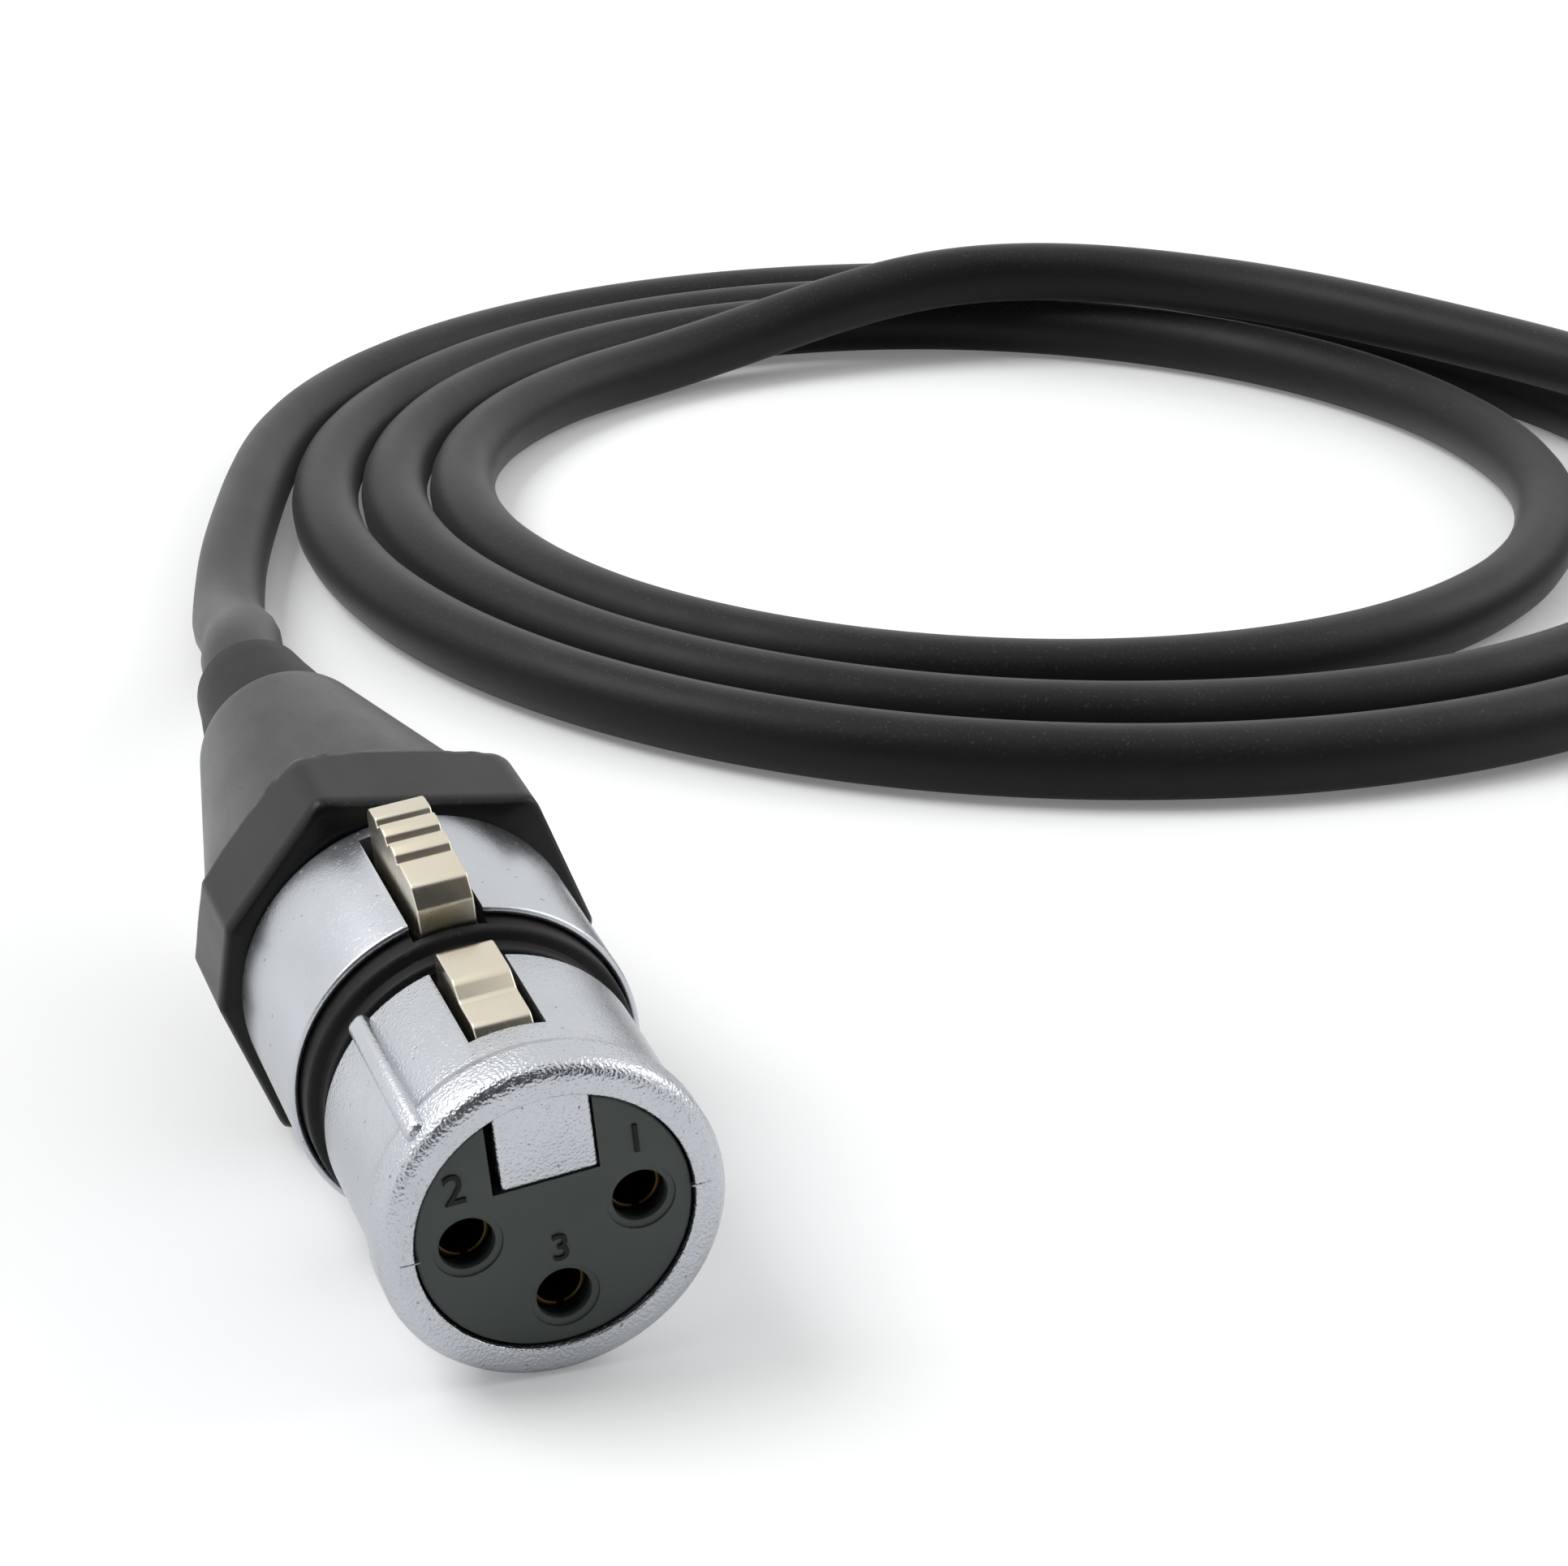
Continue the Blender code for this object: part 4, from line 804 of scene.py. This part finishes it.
def latch():
    """The latch in one piece: the stepped tooth in front, the ribbed button behind."""
    corners = [(HINGE_Y - LUG_RADIUS, HINGE_Z, 0.0)]
    lug = arc_points((HINGE_Y, HINGE_Z), LUG_RADIUS, radians(202.5), radians(315.0), 5)
    corners += [(y, z, 0.0) for y, z in lug]
    corners += [
        (HINGE_Y + 1.6 * LUG_RADIUS, LATCH_BOTTOM, 0.0006), (BUTTON_REAR, LATCH_BOTTOM, 0.0005),
        (BUTTON_REAR, BUTTON_TOP - 0.0001, 0.0011), *button_ridges(),
        (RIDGE_FIRST - 0.0008, BUTTON_EDGE, 0.0006), (BUTTON_FRONT, BUTTON_EDGE - 0.0011, 0.0006),
        (BUTTON_FRONT, BRIDGE_TOP, 0.0003), (TOOTH_REAR, BRIDGE_TOP, 0.0003),
        (TOOTH_REAR, TOOTH_HIGH, 0.0008), (0.0096, TOOTH_HIGH, 0.0010), (0.0086, TOOTH_LOW, 0.0006),
        (0.0062, TOOTH_LOW, 0.0007), (TOOTH_FRONT, TOOTH_LOW - 0.0008, 0.0005),
        (TOOTH_FRONT, 0.0078, 0.0)]
    shape = slab(filleted(corners, 5), LATCH_HALF, 0.00045, 5)
    hinge = cylinder(HINGE_BORE, (-0.003, HINGE_Y, HINGE_Z), (0.003, HINGE_Y, HINGE_Z), 32)
    return piece("latch", combined(shape, [hinge]), SHELL_FRAME, FINISHES["champagne_nickel"],
                 ["latch_lever"], body="latch", smooth_angle=40.0)


def return_spring():
    """The spring under the button: a coil of wire, with a mesh of its own."""
    steps = 24 * SPRING_TURNS
    shape = bmesh.new()
    upright = Matrix.Translation((SPRING_RADIUS, 0, 0)) @ Matrix.Rotation(pi / 2, 4, "X")
    bmesh.ops.create_circle(shape, cap_ends=True, segments=12, radius=SPRING_WIRE, matrix=upright)
    bmesh.ops.spin(shape, geom=shape.verts[:] + shape.edges[:] + shape.faces[:], cent=(0, 0, 0),
                   axis=(0, 0, 1), dvec=(0, 0, (SPRING_HIGH - SPRING_LOW) / steps),
                   angle=2 * pi * SPRING_TURNS, steps=steps, use_merge=False, use_duplicate=False)
    bmesh.ops.recalc_face_normals(shape, faces=shape.faces)
    bmesh.ops.translate(shape, vec=(0, SPRING_Y, SPRING_LOW), verts=shape.verts)
    spring = piece("button_spring", shape, SHELL_FRAME, FINISHES["spring_steel"],
                   ["latch_spring"])
    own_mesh(spring)
    return spring


def seal_ring():
    """The rubber ring in the groove. Its thicker rear part fills the undercut of the lip."""
    outline = filleted([
        (SEAL_BORE, 0.0140, 0.0001), (SEAL_RADIUS, 0.0140, 0.00025), (SEAL_RADIUS, 0.0149, 0.0002),
        (SEAL_REAR_RADIUS, 0.0151, 0.0004), (SEAL_REAR_RADIUS, 0.01975, 0.0002),
        (SEAL_BORE, 0.01975, 0.0)], 5)
    notch = block((-SLOT_HALF, 0.0157, 0.0), (SLOT_HALF, 0.03, 0.02))
    return piece("seal_ring", combined(spun(outline, 96), [notch]), SHELL_FRAME,
                 FINISHES["black_rubber"], ["socket_seal_ring"])


# --- pieces that both connectors have ---
def collar_support(angle):
    """Distance from the axis to the wrench flats at an angle round it."""
    x, z = abs(cos(angle)), abs(sin(angle))
    slope = Vector((COLLAR_APOTHEM - COLLAR_HALF_SIDE, COLLAR_SIDE - COLLAR_HALF_FLAT)).normalized()
    slanted = slope.x * COLLAR_SIDE + slope.y * COLLAR_HALF_SIDE
    reaches = [COLLAR_APOTHEM / z if z > 0.05 else 1.0, COLLAR_SIDE / x if x > 0.05 else 1.0]
    reaches.append(slanted / (slope.x * x + slope.y * z))
    return min(reaches)


def soft_min(first, second, blend):
    """The smaller of two values, blended over a small range where they are close."""
    gap = max(blend - abs(first - second), 0.0) / blend
    return min(first, second) - gap * gap * blend * 0.25


def boot(prefix, place, nodes):
    """The threaded nut: wrench flats on a collar that runs out into a long taper."""
    corner = hypot(COLLAR_APOTHEM, COLLAR_HALF_FLAT)
    rings = [(corner - 0.0008, COLLAR_FRONT), (corner - 0.0004, COLLAR_FRONT + 0.00015),
             (corner - 0.0001, COLLAR_FRONT + 0.0004)]
    for i in range(1, 9):
        part = i / 8
        rings.append((corner - 0.0001 - 0.0001 * part, COLLAR_FRONT + 0.0004 + 0.0056 * part))
    rings += [(corner - 0.0003, COLLAR_REAR - 0.0003), (corner - 0.0007, COLLAR_REAR),
              (corner - 0.0013, COLLAR_REAR + 0.0002), (BOOT_NECK, BOOT_FRONT)]
    for i in range(1, 19):
        part = i / 18
        rings.append((BOOT_NECK - (BOOT_NECK - BOOT_SHOULDER) * part,
                      BOOT_FRONT + (BOOT_REAR - 0.0005 - BOOT_FRONT) * part))
    rings += [(0.00566, BOOT_REAR - 0.0002), (0.00545, BOOT_REAR)]
    inside = [(0.00525, BOOT_REAR), (0.00525, 0.0498), (0.0063, 0.0494), (0.0063, 0.0418),
              (BOOT_THREAD, 0.0403), (BOOT_THREAD, COLLAR_FRONT)]
    shape = spun(rings + inside, 288)
    for vert in shape.verts:
        reach = hypot(vert.co.x, vert.co.z)
        if reach < BOOT_THREAD + 0.0002:
            continue
        inset = max(0.0, COLLAR_FRONT + COLLAR_BEVEL - vert.co.y)
        limit = collar_support(atan2(vert.co.z, vert.co.x)) - inset
        target = soft_min(reach, limit, COLLAR_BLEND)
        vert.co.x *= target / reach
        vert.co.z *= target / reach
    return piece(prefix + "_boot_nut", shape, place, FINISHES["black_plastic"],
                 nodes, smooth_angle=50.0)


def gland(prefix, place, nodes):
    """The rubber tail of the boot. Its mouth closes on the cable."""
    front = BOOT_REAR - 0.0120
    mouth = GLAND_REAR + 2 * SEAT_GAP
    corners = [(GLAND_BORE, front, 0.0), (GLAND_FLANGE, front, 0.0002),
               (GLAND_FLANGE, front + 0.0034, 0.0002), (GLAND_RADIUS, front + 0.0037, 0.0),
               (GLAND_RADIUS, BOOT_REAR + 0.0002, 0.0)]
    for part in (0.2, 0.4, 0.6, 0.8):
        corners.append((GLAND_RADIUS - (GLAND_RADIUS - GLAND_TIP) * part ** 1.2,
                        BOOT_REAR + (GLAND_REAR - BOOT_REAR) * part, 0.0))
    corners += [(GLAND_TIP, mouth, 0.0003), (MOUTH_RADIUS, mouth, 0.0001),
                (MOUTH_RADIUS, GLAND_REAR - 0.0015, 0.0), (GLAND_BORE, GLAND_REAR - 0.0020, 0.0)]
    return piece(prefix + "_boot_tail", spun(filleted(corners, 4), 72), place,
                 FINISHES["black_rubber"], nodes)


# --- male connector ---
CUP_RADIUS = 0.0105
CUP_BORE = 0.00955
CUP_FLOOR = 0.0165
PIN_FACE = 0.0150              # the front of the male insert
PIN_RADIUS = 0.0012
PIN_FRONT = 0.0025
PIN_COLLAR = 0.0223
PIN_BORE = 0.00132             # in the insert, around a pin


def plug_shell():
    outline = filleted([
        (CUP_BORE, 0.0, 0.0002), (CUP_RADIUS, 0.0, 0.0004), (CUP_RADIUS, SLEEVE_REAR, 0.0008),
        (THREAD_RADIUS, SLEEVE_REAR, 0.0), (THREAD_RADIUS, THREAD_END, 0.0004),
        (BORE_RADIUS, THREAD_END, 0.0), (BORE_RADIUS, CUP_FLOOR, 0.0),
        (CUP_BORE, CUP_FLOOR, 0.0)], 5)
    window = block((-0.0022, 0.0011, 0.004), (0.0022, 0.0068, 0.02), 0.0003, 3)
    guide = block((-0.00095, -0.001, 0.004), (0.00095, 0.0140, 0.01015), 0.0002, 2)
    turn = Matrix.Rotation(-RIB_ANGLE, 3, "Y")
    bmesh.ops.rotate(guide, cent=(0, 0, 0), matrix=turn, verts=guide.verts)
    shell = combined(spun(outline, 120), [window, guide])
    return piece("plug_cup", shell, PLUG_FRAME, FINISHES["cup_nickel"],
                 ["plug_shell"])


def plug_insert():
    flange, flange_rear = 0.00943, 0.0162
    body = spun(filleted([
        (0.0, PIN_FACE, 0.0), (flange, PIN_FACE, 0.0003), (flange, flange_rear, 0.0),
        (INSERT_RADIUS, flange_rear, 0.0), (INSERT_RADIUS, INSERT_REAR, 0.0),
        (0.0, INSERT_REAR, 0.0)], 4), 96)
    for degrees in PLUG_PLACES.values():
        body = combined(body, [cylinder(PIN_BORE, on_circle(CONTACT_CIRCLE, degrees, 0.0),
                                        on_circle(CONTACT_CIRCLE, degrees, 0.03))])
    numerals = [numeral(1, -0.0060, 0.0036, 0.0017, PIN_FACE),
                numeral(2, 0.0060, 0.0036, 0.0017, PIN_FACE),
                numeral(3, 0.0, -0.0017, 0.0016, PIN_FACE)]
    return [piece("pin_insert", body, PLUG_FRAME, FINISHES["insert_plastic"],
                  ["plug_insert"]),
            # The numerals take the darker plastic that paints the shade of their strokes.
            piece("pin_numerals", joined(*numerals), PLUG_FRAME, FINISHES["numeral"],
                  [])]


def plug_pin(number, degrees):
    outline = filleted([
        (0.0, PIN_FRONT, 0.0), (PIN_RADIUS, PIN_FRONT, 0.0008), (PIN_RADIUS, PIN_COLLAR, 0.0),
        (SOLDER_CUP_RADIUS, PIN_COLLAR, 0.0), (SOLDER_CUP_RADIUS, SOLDER_CUP_REAR, 0.0001),
        (SOLDER_CUP_BORE, SOLDER_CUP_REAR, 0.0), (SOLDER_CUP_BORE, SOLDER_CUP_FLOOR, 0.0),
        (0.0, SOLDER_CUP_FLOOR, 0.0)], 5)
    shape = spun(outline, 48)
    bmesh.ops.translate(shape, vec=on_circle(CONTACT_CIRCLE, degrees), verts=shape.verts)
    return piece("pin_%d" % number, shape, PLUG_FRAME, FINISHES["contact_gold"],
                 ["plug_pin_%d" % number])


# --- cable ---
def curve_through(knots, spacing):
    """Points on a smooth curve through the knots, at about the given spacing."""
    knots = [Vector(k) for k in knots]
    spans = [(b - a).length for a, b in zip(knots, knots[1:])]
    rises = [(b - a) / span for a, b, span in zip(knots, knots[1:], spans)]
    slopes = [rises[0]]
    for i in range(1, len(knots) - 1):
        weighted = rises[i - 1] * spans[i] + rises[i] * spans[i - 1]
        slopes.append(weighted / (spans[i] + spans[i - 1]))
    slopes.append(rises[-1])
    path = [knots[0]]
    for i, span in enumerate(spans):
        steps = max(1, ceil(span / spacing))
        for j in range(1, steps + 1):
            t = j / steps
            path.append((2 * t ** 3 - 3 * t ** 2 + 1) * knots[i]
                        + (3 * t ** 2 - 2 * t ** 3) * knots[i + 1]
                        + (t ** 3 - 2 * t ** 2 + t) * span * slopes[i]
                        + (t ** 3 - t ** 2) * span * slopes[i + 1])
    return path


def relaxed(path, passes):
    """Takes small kinks out of a route and leaves its ends where they are."""
    for _ in range(passes):
        middle = [(a + 2 * b + c) / 4 for a, b, c in zip(path[1:-3], path[2:-2], path[3:-1])]
        path = path[:2] + middle + path[-2:]
    return path


def cable_path():
    along = Vector((0.0, cos(TILT), sin(TILT)))
    start = NOSE_PLACE + along * (GLAND_REAR + SEAT_GAP)
    lead = [start, start + along * LEAD_STRAIGHT] + [Vector(p) for p in LEAD_ROUTE]
    turns = [(COIL_START - 90.0 * i, radius, COIL_HEIGHT) for i, radius in enumerate(COIL_QUARTERS)]
    whole_turns = 360.0 * (len(COIL_QUARTERS) // 4)
    turns += [(angle - whole_turns, radius, height) for angle, radius, height in TAIL_CLIMB]
    coil = []
    for angle, radius, height in curve_through(turns, TURN_STEP):
        turn = radians(angle)
        coil.append(Vector((COIL_CENTRE.x + radius * cos(turn) / 1000,
                            COIL_CENTRE.y + radius * sin(turn) / 1000, height / 1000)))
    end = PLUG_PLACE + Vector((0.0, GLAND_REAR + SEAT_GAP, 0.0))
    tail = [Vector(p) for p in TAIL_ROUTE] + [end + Vector((0.0, TAIL_STRAIGHT, 0.0)), end]
    return relaxed(curve_through(lead + coil[1:] + tail, ROUTE_STEP), ROUTE_PASSES)


def make_cable():
    path = cable_path()
    curve = bpy.data.curves.new("cable", "CURVE")
    curve.dimensions = "3D"
    curve.bevel_depth = CABLE_RADIUS
    curve.bevel_resolution = 8
    curve.use_fill_caps = True
    spline = curve.splines.new("POLY")
    spline.points.add(len(path) - 1)
    for point, place in zip(spline.points, path):
        point.co = (*place, 1.0)
    spline.use_smooth = True
    curve.materials.append(FINISHES["cable_jacket"])
    cable = bpy.data.objects.new("cable", curve)
    bpy.context.scene.collection.objects.link(cable)
    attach(cable, "cable_set")
    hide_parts("cable_lead", "cable_coil", "cable_tail")
    return cable


# --- stage ---
# The room is dim in front of the connector, on the camera's side, and this draws the rounded
# edges of the metal. The camera itself sees the room white from every side.
DIM_DIRECTION = (-0.19, -0.91, 0.375)
DIM_INSIDE = radians(40.0)
DIM_OUTSIDE = radians(56.0)
DIM_DEPTH = 0.94
ROOM_LIGHT = 0.72              # that the room sends, where the camera and the metal see 1
FLOOR_REACH = 0.65
FLOOR_GLOW = 0.17              # brings the lit floor up to white
FLOOR_GLOW_FAR = 0.25          # what the unlit floor further off needs more
FLOOR_FAR = (0.30, 0.60)       # distances between which it needs it
LAMP_TARGET = (0.02, 0.03, 0.0)


def camera():
    back = CAMERA_RIGHT.cross(CAMERA_UP).normalized()
    turn = Matrix((CAMERA_RIGHT, CAMERA_UP, back)).transposed().to_4x4()
    lens = bpy.data.cameras.new("camera")
    lens.lens = CAMERA_LENS
    lens.sensor_width = CAMERA_SENSOR
    lens.clip_start = 0.01
    lens.clip_end = 20.0
    thing = bpy.data.objects.new("camera", lens)
    thing.matrix_world = Matrix.Translation(CAMERA_PLACE) @ turn
    bpy.context.scene.collection.objects.link(thing)
    bpy.context.scene.camera = thing


def floor():
    """A pale floor that shows white behind the object and keeps its shadow."""
    shape = bmesh.new()
    bmesh.ops.create_grid(shape, x_segments=2, y_segments=2, size=FLOOR_REACH)
    mesh = bpy.data.meshes.new("floor")
    shape.to_mesh(mesh)
    shape.free()
    thing = bpy.data.objects.new("floor", mesh)
    bpy.context.scene.collection.objects.link(thing)
    material = bpy.data.materials.new("pale floor")
    material.use_nodes = True
    tree = material.node_tree
    shader = tree.nodes["Principled BSDF"]
    shader.inputs["Base Color"].default_value = (0.86, 0.865, 0.87, 1.0)
    shader.inputs["Roughness"].default_value = 0.9
    shader.inputs["Specular IOR Level"].default_value = 0.1
    shader.inputs["Emission Color"].default_value = (1.0, 1.0, 1.0, 1.0)
    path = tree.nodes.new("ShaderNodeLightPath").outputs
    seen = math_node(tree, "ADD", path["Is Camera Ray"],
                     math_node(tree, "MULTIPLY", path["Is Glossy Ray"], 0.5))
    away = add(tree, "ShaderNodeVectorMath", operation="LENGTH")
    tree.links.new(add(tree, "ShaderNodeTexCoord").outputs["Object"], away.inputs[0])
    far = ramp(tree, away.outputs["Value"], *FLOOR_FAR)
    far = math_node(tree, "MULTIPLY", far, path["Is Camera Ray"])
    glow = math_node(tree, "ADD", math_node(tree, "MULTIPLY", seen, FLOOR_GLOW),
                     math_node(tree, "MULTIPLY", far, FLOOR_GLOW_FAR))
    tree.links.new(glow, shader.inputs["Emission Strength"])
    mesh.materials.append(material)


def soft_light(name, place, power):
    lamp = bpy.data.lights.new(name, "AREA")
    lamp.shape = "RECTANGLE"
    lamp.size, lamp.size_y = 0.5, 0.5
    lamp.energy = power
    thing = bpy.data.objects.new(name, lamp)
    thing.location = place
    toward = Vector(LAMP_TARGET) - Vector(place)
    thing.rotation_euler = toward.to_track_quat("-Z", "Y").to_euler()
    bpy.context.scene.collection.objects.link(thing)


def world():
    sky = bpy.data.worlds.new("studio")
    bpy.context.scene.world = sky
    sky.use_nodes = True
    tree = sky.node_tree
    background = tree.nodes["Background"]
    background.inputs["Color"].default_value = (1.0, 1.0, 1.0, 1.0)
    path = tree.nodes.new("ShaderNodeLightPath").outputs
    bright = math_node(tree, "MAXIMUM", path["Is Camera Ray"], path["Is Glossy Ray"])
    level = math_node(tree, "MULTIPLY", bright, 1.0 - ROOM_LIGHT)
    level = math_node(tree, "ADD", level, ROOM_LIGHT)
    toward = add(tree, "ShaderNodeVectorMath", operation="DOT_PRODUCT")
    toward.inputs[1].default_value = Vector(DIM_DIRECTION).normalized()
    tree.links.new(add(tree, "ShaderNodeTexCoord").outputs["Generated"], toward.inputs[0])
    dim = ramp(tree, toward.outputs["Value"], cos(DIM_OUTSIDE), cos(DIM_INSIDE))
    unseen = math_node(tree, "SUBTRACT", 1.0, path["Is Camera Ray"])
    dimmed = math_node(tree, "MULTIPLY", math_node(tree, "MULTIPLY", dim, DIM_DEPTH), unseen)
    shade = math_node(tree, "SUBTRACT", 1.0, dimmed)
    tree.links.new(math_node(tree, "MULTIPLY", level, shade), background.inputs["Strength"])


def studio():
    world()
    soft_light("window light", (-0.5, 0.25, 0.75), 5.0)
    soft_light("fill light", (0.85, 0.05, 0.55), 2.0)
    bpy.context.scene.view_settings.view_transform = "Standard"


def main():
    camera()
    studio()
    floor()
    finish_cad_nodes()
    socket_shell()
    socket_insert()
    for number, degrees in SOCKET_PLACES.items():
        socket_contact(number, degrees)
    latch()
    return_spring()
    seal_ring()
    boot("socket", COLLAR_FRAME, ["socket_boot"])
    gland("socket", COLLAR_FRAME, ["socket_boot_gland"])
    plug = [plug_shell(), *plug_insert()]
    plug += [plug_pin(number, degrees) for number, degrees in PLUG_PLACES.items()]
    plug.append(boot("plug", PLUG_FRAME, ["plug_boot"]))
    plug.append(gland("plug", PLUG_FRAME, ["plug_boot_gland"]))
    make_cable()


main()
